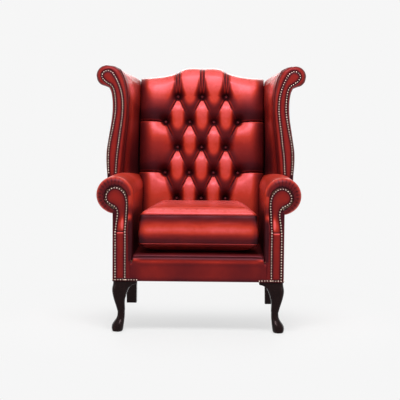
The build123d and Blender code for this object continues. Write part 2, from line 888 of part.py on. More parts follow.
def build_cushion():
    keep("seat_cushion_cover", cushion_solid(0) - cushion_solid(cushion_skin))
    keep("seat_cushion_core", cushion_solid(cushion_skin + gap))
    low_seam = cushion_low + under_crown
    welts = []
    for z, inset in ((low_seam, 0), (low_seam + cushion_box, top_seam_inset)):
        path = cushion_face(z, inset - welt_radius - 2 * gap).wires()[0]
        mouth = Plane(origin=path @ 0, z_dir=path % 0)
        welts.append(sweep(mouth * Circle(welt_radius), path=path))
    keep("cushion_piping", *welts)


build_legs()
build_seat_frame()
build_back_frame()
build_springs()
build_deck()
build_arms()
build_arm_facings()
build_wings()
build_back()
build_cushion()

# The whole chair is moved so that its bounding box is centred over the origin
whole = Compound([solid for solids in parts.values() for solid in solids]).bounding_box()
middle_y = (whole.min.Y + whole.max.Y) / 2
print("centre moved by", round(-middle_y, 3), "size", whole.size)
os.makedirs("parts", exist_ok=True)
for name, solids in parts.items():
    moved = [Pos(0, -middle_y, 0) * solid for solid in solids]
    export_step(moved[0] if len(moved) == 1 else Compound(moved), "parts/" + name + ".step")
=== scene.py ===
"""High-backed wing armchair in rubbed red hide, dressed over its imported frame.

Shapes are written in millimetres in the chair's own measure: x across, y back from the front of the
arms and z up. They become metres in the row frame when a piece is made.
"""
import math

import bmesh
import bpy
import numpy as np
from mathutils import Euler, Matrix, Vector, geometry
from mathutils.bvhtree import BVHTree


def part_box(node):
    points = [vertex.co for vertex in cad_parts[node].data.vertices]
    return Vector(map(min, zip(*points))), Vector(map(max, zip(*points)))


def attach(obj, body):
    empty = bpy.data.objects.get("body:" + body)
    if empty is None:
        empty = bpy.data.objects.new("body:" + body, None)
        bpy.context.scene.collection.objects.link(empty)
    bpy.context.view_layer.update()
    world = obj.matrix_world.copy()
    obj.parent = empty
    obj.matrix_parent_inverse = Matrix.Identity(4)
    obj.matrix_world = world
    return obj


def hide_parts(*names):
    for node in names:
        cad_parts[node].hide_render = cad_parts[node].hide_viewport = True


bl_info = {
    "name": "Buttoned wing armchair",
    "version": (1, 0, 0),
    "blender": (4, 5, 0),
    "location": "View3D > Sidebar > Armchair",
    "description": "Leather, nails, legs and studio for a deep-buttoned wing armchair",
    "category": "Object",
}

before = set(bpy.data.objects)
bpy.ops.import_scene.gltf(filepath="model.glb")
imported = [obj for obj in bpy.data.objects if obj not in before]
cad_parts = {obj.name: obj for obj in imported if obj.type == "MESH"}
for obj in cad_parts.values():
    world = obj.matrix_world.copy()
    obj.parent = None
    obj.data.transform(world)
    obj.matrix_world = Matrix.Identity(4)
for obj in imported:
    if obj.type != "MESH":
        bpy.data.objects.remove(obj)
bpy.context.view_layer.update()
front_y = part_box("front_border")[0].y
LEAN = math.radians(11)  # rake of the back and of the wings' rear edge
WING_LEAN = math.radians(6)  # rake of the wings' front edge
LEG_TOP = 200.0
BACK_FOOT, WING_FOOT = 644.0, 258.0  # how far back the back and the wings' fronts stand at the legs' top
SEAT = 306.3  # top of the deck
ROLL = (325.0, 533.0, 71.0)  # x, z and radius of the arms' roll
SIDE = 331.5  # half of the frame's width at the arms
MERGE = 0.00002  # metres
BACKDROP = (0.922, 0.922, 0.922)


def colour_setting(name, description, default):
    return bpy.props.FloatVectorProperty(name=name, description=description, subtype="COLOR", size=3, min=0, max=1,
                                         default=default)


def size_setting(name, description, low, high, default):
    return bpy.props.FloatProperty(name=name, description=description, subtype="DISTANCE", min=low, max=high,
                                   default=default)


class ChairFinish(bpy.types.PropertyGroup):
    """Colours of the chair's finishes."""

    # The crown colour is rub-off lightened by painted light; the bright colour is a painted pink highlight on crowns
    # facing the light.
    hide_crown: colour_setting("Rubbed hide", "Leather colour on the rubbed crowns", (0.54, 0.042, 0.02))
    hide_highlight: colour_setting("Bright hide", "Leather colour on the most rubbed crowns", (0.82, 0.12, 0.12))
    hide_mid: colour_setting("Plain hide", "Leather colour between crowns and creases", (0.29, 0.017, 0.009))
    # The antiqued colour is the antique finish in the creases, darkened further as painted shade.
    hide_antique_shade: colour_setting("Antiqued hide", "Leather colour in the creases", (0.055, 0.0035, 0.0045))
    hide_shine: colour_setting("Hide shine", "Tint of the leather's highlights", (1.0, 0.33, 0.45))
    timber: colour_setting("Polished legs", "Colour of the legs' dark polish", (0.006, 0.0026, 0.0025))
    nail: colour_setting("Nail heads", "Colour of the nail heads", (0.9, 0.68, 0.56))


class ChairSizes(bpy.types.PropertyGroup):
    """Sizes of the chair's upholstery details."""

    nail_pitch: size_setting("Nail pitch", "Distance between nails along their row", 0.006, 0.03, 0.0103)
    nail_radius: size_setting("Nail radius", "Radius of a nail head", 0.001, 0.008, 0.0024)
    welt: size_setting("Piping radius", "Radius of the cushion's piping", 0.001, 0.006, 0.0024)
    tuft: size_setting("Button depth", "How deep the buttons pull into the back", 0.01, 0.06, 0.042)
    pressure: bpy.props.FloatProperty(
        name="Cushion fullness", description="Pressure that swells the seat cushion", min=0, max=10, default=4)


# Finishes
def shader(name):
    """A material with its principled shader, its links and a maker of nodes."""
    material = bpy.data.materials.new(name)
    material.use_nodes = True
    tree = material.node_tree
    surface = tree.nodes["Principled BSDF"]

    def node(kind, **values):
        made = tree.nodes.new("ShaderNode" + kind)
        for key, value in values.items():
            if key in made.inputs:
                made.inputs[key].default_value = value
            else:
                setattr(made, key, value)
        return made

    return material, surface, node, tree.links.new


def ramp(node, stops):
    """A colour ramp with a stop for each pair of place and colour."""
    made = node("ValToRGB")
    points = made.color_ramp.elements
    while len(points) < len(stops):
        points.new(0.5)
    for point, (place, colour) in zip(points, stops):
        point.position = place
        point.color = (*colour, 1)
    return made


def mathed(node, link, kind, *values, clamp=False):
    """A Math node's result: each value is a number or another node's output."""
    made = node("Math", operation=kind)
    made.use_clamp = clamp
    for socket, value in zip(made.inputs, values):
        if isinstance(value, (int, float)):
            socket.default_value = value
        else:
            link(value, socket)
    return made.outputs[0]


def hide_finish(name):
    """Red hide whose attribute carries rub-off and painted light together: painted shade in black-red creases, painted
    highlights on orange-red and pink crowns.
    """
    finish = bpy.context.scene.chair_finish
    material, surface, node, link = shader(name)
    place = node("TexCoord").outputs["Object"]
    cloud = node("TexNoise", Scale=11.0, Detail=4.0, Roughness=0.55)
    mottle = node("TexNoise", Scale=46.0, Detail=3.0, Roughness=0.6)
    grain = node("TexVoronoi", Scale=520.0)
    pore = node("TexNoise", Scale=1500.0, Detail=2.0)
    for texture in (cloud, mottle, grain, pore):
        link(place, texture.inputs["Vector"])
    # The attribute mixes the hide's rub-off with painted shade and painted highlights.
    wear_and_light = node("Attribute", attribute_name="wear_and_light").outputs["Fac"]
    drift = mathed(node, link, "MULTIPLY_ADD", cloud.outputs["Fac"], 0.2, -0.1)
    speck = mathed(node, link, "MULTIPLY_ADD", mottle.outputs["Fac"], 0.08, -0.04)
    rubbed_and_lit = mathed(node, link, "ADD", wear_and_light, mathed(node, link, "ADD", drift, speck), clamp=True)
    crown = tuple(finish.hide_crown)
    mid = tuple(finish.hide_mid)
    deep = tuple(finish.hide_antique_shade)
    # Near-black stop: painted shade in the deepest creases; the top stop is a painted pink highlight.
    black = tuple(0.15 * part for part in deep)
    dark = tuple(0.4 * high + 0.6 * low for high, low in zip(mid, deep))
    colour = ramp(node, ((0.0, black), (0.2, deep), (0.4, dark), (0.6, mid), (0.8, crown),
                         (1.0, tuple(finish.hide_highlight))))
    link(rubbed_and_lit, colour.inputs[0])
    link(colour.outputs[0], surface.inputs["Base Color"])
    dull = mathed(node, link, "MULTIPLY_ADD", rubbed_and_lit, -0.26, 0.46)
    link(mathed(node, link, "MULTIPLY_ADD", mottle.outputs["Fac"], 0.12, dull), surface.inputs["Roughness"])
    surface.inputs["Specular Tint"].default_value = (*finish.hide_shine, 1)
    surface.inputs["Specular IOR Level"].default_value = 0.32
    pebble = mathed(node, link, "MULTIPLY_ADD", grain.outputs["Distance"], 0.6, pore.outputs["Fac"])
    bump = node("Bump", Strength=0.22, Distance=0.0004)
    link(pebble, bump.inputs["Height"])
    link(bump.outputs[0], surface.inputs["Normal"])
    return material


def timber_finish(name, dark, light, roughness):
    """Timber with its figure along z."""
    material, surface, node, link = shader(name)
    place = node("TexCoord").outputs["Object"]
    stretch = node("Mapping", Scale=(1.0, 1.0, 0.12))
    link(place, stretch.inputs["Vector"])
    figure = node("TexNoise", Scale=60.0, Detail=6.0, Roughness=0.62, Distortion=0.6)
    link(stretch.outputs[0], figure.inputs["Vector"])
    fibre = node("TexNoise", Scale=420.0, Detail=3.0)
    link(stretch.outputs[0], fibre.inputs["Vector"])
    colour = ramp(node, ((0.3, dark), (0.72, light)))
    link(figure.outputs["Fac"], colour.inputs[0])
    link(colour.outputs[0], surface.inputs["Base Color"])
    gloss = mathed(node, link, "MULTIPLY_ADD", figure.outputs["Fac"], 0.12, roughness)
    link(gloss, surface.inputs["Roughness"])
    surface.inputs["Specular IOR Level"].default_value = 0.14
    surface.inputs["Specular Tint"].default_value = (1.0, 0.7, 0.72, 1)
    bump = node("Bump", Strength=0.12, Distance=0.0003)
    link(fibre.outputs["Fac"], bump.inputs["Height"])
    link(bump.outputs[0], surface.inputs["Normal"])
    return material


def metal_finish(name, colour, roughness):
    """Metal with a little tarnish."""
    material, surface, node, link = shader(name)
    tarnish = node("TexNoise", Scale=90.0, Detail=3.0)
    link(node("TexCoord").outputs["Object"], tarnish.inputs["Vector"])
    dull = tuple(0.6 * part for part in colour)
    shade = ramp(node, ((0.3, dull), (0.55, colour)))
    link(tarnish.outputs["Fac"], shade.inputs[0])
    link(shade.outputs[0], surface.inputs["Base Color"])
    gloss = mathed(node, link, "MULTIPLY_ADD", tarnish.outputs["Fac"], 0.2, roughness)
    link(gloss, surface.inputs["Roughness"])
    surface.inputs["Metallic"].default_value = 1.0
    return material


def cloth_finish(name, colour, pitch):
    """Plain woven cloth, its threads a pitch apart."""
    material, surface, node, link = shader(name)
    place = node("TexCoord").outputs["Object"]
    across = node("TexWave", bands_direction="X", Scale=1 / pitch / 3.2)
    along = node("TexWave", bands_direction="Y", Scale=1 / pitch / 3.2)
    fuzz = node("TexNoise", Scale=300.0, Detail=3.0)
    for texture in (across, along, fuzz):
        link(place, texture.inputs["Vector"])
    weave = mathed(node, link, "MAXIMUM", across.outputs["Fac"], along.outputs["Fac"])
    mix = mathed(node, link, "MULTIPLY", weave, fuzz.outputs["Fac"])
    shade = ramp(node, ((0.0, tuple(0.5 * part for part in colour)), (0.6, colour)))
    link(mix, shade.inputs[0])
    link(shade.outputs[0], surface.inputs["Base Color"])
    surface.inputs["Roughness"].default_value = 0.9
    bump = node("Bump", Strength=0.4, Distance=0.0005)
    link(weave, bump.inputs["Height"])
    link(bump.outputs[0], surface.inputs["Normal"])
    return material


# Lines and surfaces
def smooth_line(points, count):
    """Evenly spaced points on a smooth line through a few."""
    given = np.asarray(points, float)
    runs = np.diff(given, axis=0)
    steps = np.sqrt(np.linalg.norm(runs, axis=1))
    slopes = runs / steps[:, None]
    joined = slopes[:-1] * steps[1:, None] + slopes[1:] * steps[:-1, None]
    joined /= (steps[1:] + steps[:-1])[:, None]
    tangents = np.vstack([slopes[:1], joined, slopes[-1:]])
    t = np.linspace(0, 1, 25)[:, None]
    fine = []
    for a, b, length, leave, arrive in zip(given, given[1:], steps, tangents, tangents[1:]):
        fine.append((2 * t**3 - 3 * t**2 + 1) * a + (t**3 - 2 * t**2 + t) * length * leave
                    + (3 * t**2 - 2 * t**3) * b + (t**3 - t**2) * length * arrive)
    return spaced(np.vstack(fine), count)


def spaced(line, count):
    """Points evenly along a line."""
    line = np.asarray(line, float)
    runs = np.linalg.norm(np.diff(line, axis=0), axis=1)
    line = line[np.concatenate([[True], runs > 1e-9])]
    far = np.concatenate([[0], np.cumsum(np.linalg.norm(np.diff(line, axis=0), axis=1))])
    at = np.linspace(0, far[-1], count)
    return np.stack([np.interp(at, far, line[:, i]) for i in range(line.shape[1])], axis=1)


def circle_line(centre, radius, start, end, count=24):
    """Points on an arc from a start angle to an end angle, in degrees."""
    turn = np.radians(np.linspace(start, end, count))
    return np.stack([centre[0] + radius * np.cos(turn), centre[1] + radius * np.sin(turn)], axis=1)


def edged(corners, pitch):
    """Points a pitch or so apart along the straight sides of a closed outline."""
    given = np.asarray(corners, float)
    sides = zip(given, np.roll(given, -1, 0))
    return np.vstack([spaced((a, b), max(3, int(np.linalg.norm(b - a) / pitch)))[:-1] for a, b in sides])


def reach(points, line):
    """How far points lie from a line of straight runs."""
    points = np.asarray(points, float)
    best = np.full(len(points), 1e9)
    for a, b in zip(line[:-1], line[1:]):
        run = b - a
        t = np.clip(((points - a) @ run) / max(run @ run, 1e-9), 0, 1)
        best = np.minimum(best, np.linalg.norm(points - a - t[:, None] * run, axis=1))
    return best


def step(low, high, value):
    """Smooth rise from 0 at low to 1 at high."""
    t = np.clip((np.asarray(value, float) - low) / (high - low), 0, 1)
    return t * t * (3 - 2 * t)


def bell(value, width):
    """Smooth rise to 1 at zero, and fall behind it."""
    return np.exp(-(np.asarray(value, float) / width) ** 2)


def normals_of(line):
    """Outward normals in the plane of a closed line that runs anticlockwise."""
    run = np.roll(line, -1, 0) - np.roll(line, 1, 0)
    run /= np.maximum(np.linalg.norm(run, axis=1), 1e-9)[:, None]
    return np.stack([run[:, 1], -run[:, 0]], axis=1)


def ring_faces(rings, around, capped=True):
    """Faces between closed rings of as many points each, with a face at both ends where it is capped."""
    faces = []
    for ring in range(rings - 1):
        low = ring * around
        for i in range(around):
            j = (i + 1) % around
            faces.append((low + i, low + j, low + around + j, low + around + i))
    if capped:
        faces.append(tuple(range(around))[::-1])
        faces.append(tuple((rings - 1) * around + i for i in range(around)))
    return faces


def sheet_faces(rows, columns):
    """Faces of a sheet of two layers of points, the second after the first, closed along its rim."""
    total = rows * columns
    faces = []
    for a in (row * columns + column for row in range(rows - 1) for column in range(columns - 1)):
        faces.append((a, a + 1, a + columns + 1, a + columns))
        faces.append((total + a, total + a + columns, total + a + columns + 1, total + a + 1))
    rim = [*range(columns), *range(2 * columns - 1, total, columns), *range(total - 2, total - columns - 1, -1),
           *range(total - 2 * columns, 0, -columns)]
    return faces + [(a, b, total + b, total + a) for a, b in zip(rim, rim[1:] + rim[:1])]


def metres(points):
    """Millimetres in the chair's own measure as metres in the frame."""
    made = np.asarray(points, float).reshape(-1, 3) / 1000
    made[:, 1] += front_y
    return made


def make_piece(name, points, faces, wear_and_light, stands_for, body="chair", side=1, crisp=45):
    """One leather piece in its place on the chair, mirrored where side is -1."""
    points = np.asarray(points, float).reshape(-1, 3) * (side, 1, 1)
    mesh = bpy.data.meshes.new(name)
    mesh.from_pydata(metres(points).tolist(), [], [tuple(map(int, face)) for face in faces])
    paint_wear_and_light(mesh, wear_and_light)
    work = bmesh.new()
    work.from_mesh(mesh)
    bmesh.ops.remove_doubles(work, verts=work.verts, dist=MERGE)
    bmesh.ops.recalc_face_normals(work, faces=work.faces)
    work.to_mesh(mesh)
    work.free()
    return place_piece(name, mesh, "rubbed_hide", stands_for, body, crisp)


def paint_wear_and_light(mesh, wear_and_light):
    """Stores the hide's rub-off at each point, with painted shade and painted highlights mixed in, which its finish
    reads.
    """
    layer = mesh.attributes.new("wear_and_light", "FLOAT", "POINT")
    worn_and_lit = np.clip(np.asarray(wear_and_light, float), 0, 1)
    layer.data.foreach_set("value", np.broadcast_to(worn_and_lit, len(mesh.vertices)).astype(np.float32))


def place_piece(name, mesh, finish, stands_for, body="chair", crisp=45):
    """Puts a finished mesh on its body, in place of the frame's own pieces."""
    mesh.polygons.foreach_set("use_smooth", [True] * len(mesh.polygons))
    mesh.set_sharp_from_angle(angle=math.radians(crisp))
    mesh.materials.clear()
    mesh.materials.append(bpy.data.materials[finish])
    piece = bpy.data.objects.new(name, mesh)
    bpy.context.scene.collection.objects.link(piece)
    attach(piece, body)
    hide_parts(*stands_for)
    return piece


def modified(mesh, *changes):
    """A mesh after modifiers, each given as its kind and its settings."""
    holder = bpy.data.objects.new("holder", mesh)
    bpy.context.scene.collection.objects.link(holder)
    for kind, settings in changes:
        modifier = holder.modifiers.new(kind, kind)
        for key, value in settings.items():
            setattr(modifier, key, value)
    made = bpy.data.meshes.new_from_object(holder.evaluated_get(bpy.context.evaluated_depsgraph_get()))
    bpy.data.objects.remove(holder)
    return made


def remesh(size):
    """Settings of a voxel remesh."""
    return "REMESH", {"mode": "VOXEL", "voxel_size": size}


def numbers(mesh, what):
    """Places (co) or normals of a mesh's points, one row each."""
    found = np.zeros(len(mesh.vertices) * 3, np.float32)
    mesh.vertices.foreach_get(what, found)
    return found.reshape(-1, 3)


def plate(rim, spacing):
    """Points and triangles that fill a flat outline evenly."""
    low, high = rim.min(0), rim.max(0)
    xs = np.arange(low[0] + spacing / 2, high[0], spacing)
    zs = np.arange(low[1] + spacing / 2, high[1], spacing * 0.87)
    grid = np.array([(x + (row % 2) * spacing / 2, z) for row, z in enumerate(zs) for x in xs])
    inside = np.zeros(len(grid), bool)
    for a, b in zip(rim, np.roll(rim, -1, 0)):
        crosses = (a[1] > grid[:, 1]) != (b[1] > grid[:, 1])
        at = a[0] + (grid[:, 1] - a[1]) * (b[0] - a[0]) / (b[1] - a[1] + 1e-12)
        inside ^= crosses & (grid[:, 0] < at)
    grid = grid[inside & (reach(grid, np.vstack([rim, rim[:1]])) > spacing * 0.45)]
    points = [Vector(p) for p in np.vstack([rim, grid])]
    edges = [(i, (i + 1) % len(rim)) for i in range(len(rim))]
    made = geometry.delaunay_2d_cdt(points, edges, [], 1, 1e-5)
    return np.array([tuple(v) for v in made[0]]), [tuple(face) for face in made[2]]


def puffed_plate(rim, spacing, thickness, puff, run):
    """A flat outline as a thin shell whose front swells away from its edge: x, z, forward and edge distance."""
    flat, faces = plate(rim, spacing)
    edge = reach(flat, np.vstack([rim, rim[:1]]))
    forward = thickness * step(-0.3, 1.6, edge) ** 0.5 + puff * (1 - np.exp(-edge / run))
    front = np.column_stack([flat, forward])
    back = np.column_stack([flat, np.zeros(len(flat))])
    count = len(flat)
    shell = faces + [tuple(count + i for i in reversed(face)) for face in faces]
    for i in range(len(rim)):
        j = (i + 1) % len(rim)
        shell.append((i, j, count + j, count + i))
    return np.vstack([front, back]), shell, np.concatenate([edge, edge])


def pressed(shell, row, depth, width):
    """A shell whose front is pulled in along a row of nails."""
    shell[:, 2] -= depth * bell(row, width) * (shell[:, 2] > 0.1)
    return shell


def facing_front(shell, back=0.0):
    """Points of a shell whose back lies upright, that far behind the arms' front."""
    return np.column_stack([shell[:, 0], back - shell[:, 2], shell[:, 1]])


# Wings
WING_OUTER = [(385, 560), (384.5, 586), (388, 628), (390, 664), (389, 698), (385, 727), (379, 767), (373, 805),
              (368, 845.5), (367, 881), (368.5, 913), (374, 942), (382, 959)]
WING_UNDER = [(382, 959), (397, 965), (416, 972), (430, 987), (435.5, 1009)]
WING_INNER = [(335.5, 1032.4), (319, 996), (309, 950), (304, 900), (304, 850), (309, 795), (315, 740), (321, 680),
              (326, 630), (331, 590), (335, 560)]
NAILS_OUTER = [(376, 585), (377, 598), (380, 646), (379.5, 686), (378.4, 702), (375.5, 729), (365, 781), (356.4, 831),
               (352.5, 862), (353.3, 903.5), (357, 933), (362, 952), (370.4, 966)]
NAILS_HEAD = [(370.4, 966), (387, 976), (402, 988), (410, 1001), (408, 1014), (395, 1025), (380, 1026),
              (365, 1016)]
NAILS_INNER = [(365, 1016), (349.4, 990.6), (337, 962), (328.6, 933), (323.9, 905), (322.8, 869), (325.3, 833.5),
               (330, 798), (335.3, 757), (339.8, 717), (346, 664), (348.5, 609), (349.5, 585)]
COUNTS = (56, 22, 44, 62)  # points on the outer, under, over and inner lines
WING_STEPS = [0.0, 0.015, 0.03, 0.045, 0.06, 0.08, 0.1, 0.125, 0.155, 0.19, 0.23, 0.28, 0.34, 0.41, 0.49, 0.57, 0.65,
              0.73, 0.8, 0.86, 0.91, 0.95, 0.98, 1.0]


def wing_outline(*parts):
    """The wing's outer, under, over and inner lines as one outline with the same counts each time."""
    lines = [smooth_line(part, count + 1)[:-1] for part, count in zip(parts, COUNTS[:3])]
    return np.vstack(lines + [smooth_line(parts[3], COUNTS[3])])


def wing_front():
    """Outline of the wing's front, anticlockwise from its outer foot."""
    scroll = np.vstack([circle_line((391.5, 1009), 44, 0, 105), [(363, 1049), (348, 1041), WING_INNER[0]]])
    return wing_outline(WING_OUTER, WING_UNDER, scroll, WING_INNER)


def wing_nails():
    """The nail line of the wing's facing, with the same count of points as the outline."""
    head = smooth_line(NAILS_HEAD, COUNTS[1] + COUNTS[2] + 1)
    return np.vstack([smooth_line(NAILS_OUTER, COUNTS[0] + 1)[:-1], head[:-1], smooth_line(NAILS_INNER, COUNTS[3])])


def wing_rear():
    """Outline at the back of the wing, in x and height above the legs along the lean."""
    inside = 275.3
    outer = [(SIDE, 0.43), (332.4, 0.556), (SIDE, 0.668), (332.6, 0.79), (SIDE, 0.893)]
    under = [(SIDE, 0.893), (SIDE, 0.905)]
    over = [(SIDE, 0.905), (325, 0.937), (303, 0.954), (284, 0.946), (inside, 0.905)]
    inner = [(inside, 0.905), (276, 0.81), (inside, 0.695), (276, 0.577), (inside, 0.43)]
    rise = (1, 849 / math.cos(LEAN))
    return wing_outline(*(np.array(part) * rise for part in (outer, under, over, inner)))


def wing_ring(section, t, deep):
    """World points of a wing section, t from front to back and deep behind that."""
    lean = WING_LEAN + (LEAN - WING_LEAN) * t
    base = WING_FOOT + (BACK_FOOT - WING_FOOT) * t
    up = section[:, 1]
    y = base + up * math.sin(lean) + deep * math.cos(lean)
    z = LEG_TOP + up * math.cos(lean) - deep * math.sin(lean)
    return np.column_stack([section[:, 0], y, z])


def raised(line):
    """Heights of a front line taken along the wing's lean."""
    return np.column_stack([line[:, 0], (line[:, 1] - LEG_TOP) / math.cos(WING_LEAN)])


def wing_section(outline, rear, t):
    """Section of the wing, t from front to back, whose flare eases out early."""
    return outline + (rear - outline) * (1 - (1 - t) ** 2.4)


def wing_facing_place(points, forward):
    """World points of the wing's front plane, brought forward out of it."""
    sine, cosine = math.sin(WING_LEAN), math.cos(WING_LEAN)
    return np.column_stack([points[:, 0], WING_FOOT + points[:, 1] * sine - forward * cosine,
                            LEG_TOP + points[:, 1] * cosine + forward * sine])


def make_wing(side, name):
    """Wing pad, its outside panel and its nailed facing, from the same front outline."""
    outline, nails, rear = raised(wing_front()), raised(wing_nails()), wing_rear()
    hem = nails + normals_of(nails) * 4.5
    hem[0], hem[-1] = nails[0] + (4.5, 0), nails[-1] - (4.5, 0)
    make_wing_pad(side, name, outline, hem, rear)
    make_outside_wing(side, name, outline[:COUNTS[0] - 2], rear[:COUNTS[0] - 2])
    make_wing_facing(side, name, hem - normals_of(hem) * 0.4, nails)


def make_wing_pad(side, name, outline, hem, rear):
    """Rolled front edge, grooved inside and plain outside of the wing, as rings from the nails to the back."""
    around = len(outline)
    height = outline[:, 1] + LEG_TOP
    inner_start = sum(COUNTS[:3]) - 12
    inner = np.zeros(around)
    inner[inner_start:] = step(0, 14, np.arange(around - inner_start))
    outer = np.zeros(around)
    outer[:COUNTS[0]] = step(0, 6, COUNTS[0] - np.arange(COUNTS[0]))
    low, deep = step(1010, 640, height), step(820, 640, height)
    lower, upper = step(945, 895, height) * inner, step(895, 945, height) * inner
    roll_depth, outside_worn = 20, 0.4
    rings, wear_and_light_rows = [], []
    for s in np.linspace(0, 1, 13):
        depth = roll_depth * (1 - math.sqrt(max(0, 1 - s**2)))
        bulge = 2.6 * math.sin(math.pi * s)
        rings.append(wing_ring(hem + (outline - hem) * s, 0, depth - bulge + 0.4))
        # Front roll: lighter on its crown as a painted highlight, darker by the nails as painted shade.
        wear_and_light_rows.append(0.2 + 0.34 * math.sin(math.pi * min(1, s * 1.05)) - 0.14 * bell(s, 0.2) - 0.12 * outer)
    for t in WING_STEPS:
        section = wing_section(outline, rear, t)
        groove = (3.2 * bell(t - 0.06, 0.018) - 2.4 * bell(t - 0.13, 0.05)) * lower - 2.8 * upper
        sag = 4.0 * math.sin(math.pi * min(1, t * 1.1)) * lower * bell(height - 790, 150)
        over_rail = 2.6 * inner * bell(height - 966, 22) * bell(t - 0.025, 0.045)
        section = section - normals_of(section) * (groove + sag - over_rail)[:, None]
        section[:, 0] -= 3.3 * outer * step(0, 0.03, t)
        rings.append(wing_ring(section, t, roll_depth * (1 - t) + 0.4))
        # Inside the wing: bright bands as painted light, painted shade in the crease by the roll, towards the back
        # crease and low down, and a painted highlight along the top.
        band = 0.92 * bell(t - 0.2, 0.17) + 0.42 * bell(t - 0.55, 0.2)
        inside = 0.16 + band * (0.72 - 0.42 * low) - 0.3 * bell(t - 0.062, 0.012) - 0.3 * step(0.7, 1.0, t) * low
        inside = inside + 0.16 * step(930, 990, height)
        inside = inside * (1 - 0.85 * deep * step(0.1, 0.36, t)) * (1 - 0.6 * step(0.86, 1, t))
        top = 0.7 - 0.25 * step(0.75, 1.0, t)
        wear_and_light_rows.append(inside * inner + top * (1 - np.clip(inner + outer, 0, 1)) + outside_worn * outer)
    pad = make_piece("wing_" + name, np.vstack(rings), ring_faces(len(rings), around), np.concatenate(wear_and_light_rows),
                     ["wing_pad_" + name], side=side, crisp=60)


def make_outside_wing(side, name, front, rear):
    """Leather panel on the outside of the wing."""
    thickness = 2.7
    along = np.linspace(0, 1, len(front))
    rings, wear_and_light_rows = [], []
    for t in np.linspace(0.012, 1, 26):
        section = wing_section(front, rear, t)
        puff = 1.6 * math.sin(math.pi * t) * np.sin(math.pi * along)
        skin = section + np.column_stack([puff + 0.4, np.zeros(len(section))])
        rings.append(wing_ring(np.vstack([skin, section[::-1] - (thickness, 0)]), t, 20 * (1 - t) + 0.6))
        worn_and_lit = 0.5 + 0.3 * np.sin(0.3 + 2.6 * along) * math.sin(math.pi * (0.1 + 0.8 * t)) - 0.35 * bell(t, 0.05)
        wear_and_light_rows.append(np.concatenate([worn_and_lit, worn_and_lit[::-1]]))
    make_piece("outside_wing_" + name, np.vstack(rings), ring_faces(len(rings), len(rings[0])),
               np.concatenate(wear_and_light_rows), ["outside_wing_panel_" + name], side=side, crisp=50)


def make_wing_facing(side, name, rim, nails):
    """Facing on the wing's front edge, pulled in along its nails, and the nails."""
    shell, faces, _ = puffed_plate(rim, 3.2, 2.2, 1.6, 7)
    row = reach(shell[:, :2], nails)
    shell = pressed(shell, row, 0.8, 3.0)
    # Painted shade darkens the facing along its nails.
    make_piece("wing_facing_" + name + "_hide", wing_facing_place(shell[:, :2], shell[:, 2]), faces,
               0.44 - 0.7 * bell(row, 6.0) + 0.06 * step(9, 14, row), ["wing_facing_" + name], side=side)
    line = wing_facing_place(nails[3:-3], 2.4)
    make_nails("wing_nail_row_" + name, [line * (side, 1, 1)], (0, -math.cos(WING_LEAN), math.sin(WING_LEAN)),
               ["wing_nails_" + name])


# Nails
def nail_tree():
    """Nodes that set domed heads along lines of edges."""
    tree = bpy.data.node_groups.new("nail_row", "GeometryNodeTree")
    face = tree.interface
    face.new_socket("Geometry", in_out="INPUT", socket_type="NodeSocketGeometry")
    for label, low, value in (("Pitch", 0.004, 0.0103), ("Radius", 0.001, 0.0038), ("Rise", 0.0005, 0.0026)):
        socket = face.new_socket(label, in_out="INPUT", socket_type="NodeSocketFloat")
        socket.subtype = "DISTANCE"
        socket.min_value = low
        socket.default_value = value
    axis = face.new_socket("Axis", in_out="INPUT", socket_type="NodeSocketVector")
    axis.default_value = (0, -1, 0)
    seed = face.new_socket("Seed", in_out="INPUT", socket_type="NodeSocketInt")
    seed.default_value = 7
    face.new_socket("Finish", in_out="INPUT", socket_type="NodeSocketMaterial")
    face.new_socket("Geometry", in_out="OUTPUT", socket_type="NodeSocketGeometry")
    add, link = tree.nodes.new, tree.links.new
    given, made = add("NodeGroupInput"), add("NodeGroupOutput")
    line = add("GeometryNodeMeshToCurve")
    link(given.outputs["Geometry"], line.inputs["Mesh"])
    even = add("GeometryNodeResampleCurve")
    even.mode = "LENGTH"
    link(line.outputs["Curve"], even.inputs["Curve"])
    link(given.outputs["Pitch"], even.inputs["Length"])
    ball = add("GeometryNodeMeshUVSphere")
    ball.inputs["Segments"].default_value = 10
    ball.inputs["Rings"].default_value = 6
    link(given.outputs["Radius"], ball.inputs["Radius"])
    ratio = add("ShaderNodeMath")
    ratio.operation = "DIVIDE"
    link(given.outputs["Rise"], ratio.inputs[0])
    link(given.outputs["Radius"], ratio.inputs[1])
    flat = add("ShaderNodeCombineXYZ")
    flat.inputs["X"].default_value = 1
    flat.inputs["Y"].default_value = 1
    link(ratio.outputs[0], flat.inputs["Z"])
    squat = add("GeometryNodeTransform")
    link(ball.outputs["Mesh"], squat.inputs["Geometry"])
    link(flat.outputs[0], squat.inputs["Scale"])
    face_out = add("FunctionNodeAlignRotationToVector")
    face_out.axis = "Z"
    link(given.outputs["Axis"], face_out.inputs["Vector"])
    vary = add("FunctionNodeRandomValue")
    vary.data_type = "FLOAT"
    vary.inputs[2].default_value = 0.94
    vary.inputs[3].default_value = 1.05
    link(given.outputs["Seed"], vary.inputs["Seed"])
    heads = add("GeometryNodeInstanceOnPoints")
    link(even.outputs["Curve"], heads.inputs["Points"])
    link(squat.outputs["Geometry"], heads.inputs["Instance"])
    link(face_out.outputs["Rotation"], heads.inputs["Rotation"])
    link(vary.outputs[1], heads.inputs["Scale"])
    real = add("GeometryNodeRealizeInstances")
    link(heads.outputs["Instances"], real.inputs["Geometry"])
    smooth = add("GeometryNodeSetShadeSmooth")
    link(real.outputs["Geometry"], smooth.inputs["Geometry"])
    paint = add("GeometryNodeSetMaterial")
    link(smooth.outputs["Geometry"], paint.inputs["Geometry"])
    link(given.outputs["Finish"], paint.inputs["Material"])
    link(paint.outputs["Geometry"], made.inputs["Geometry"])
    return tree


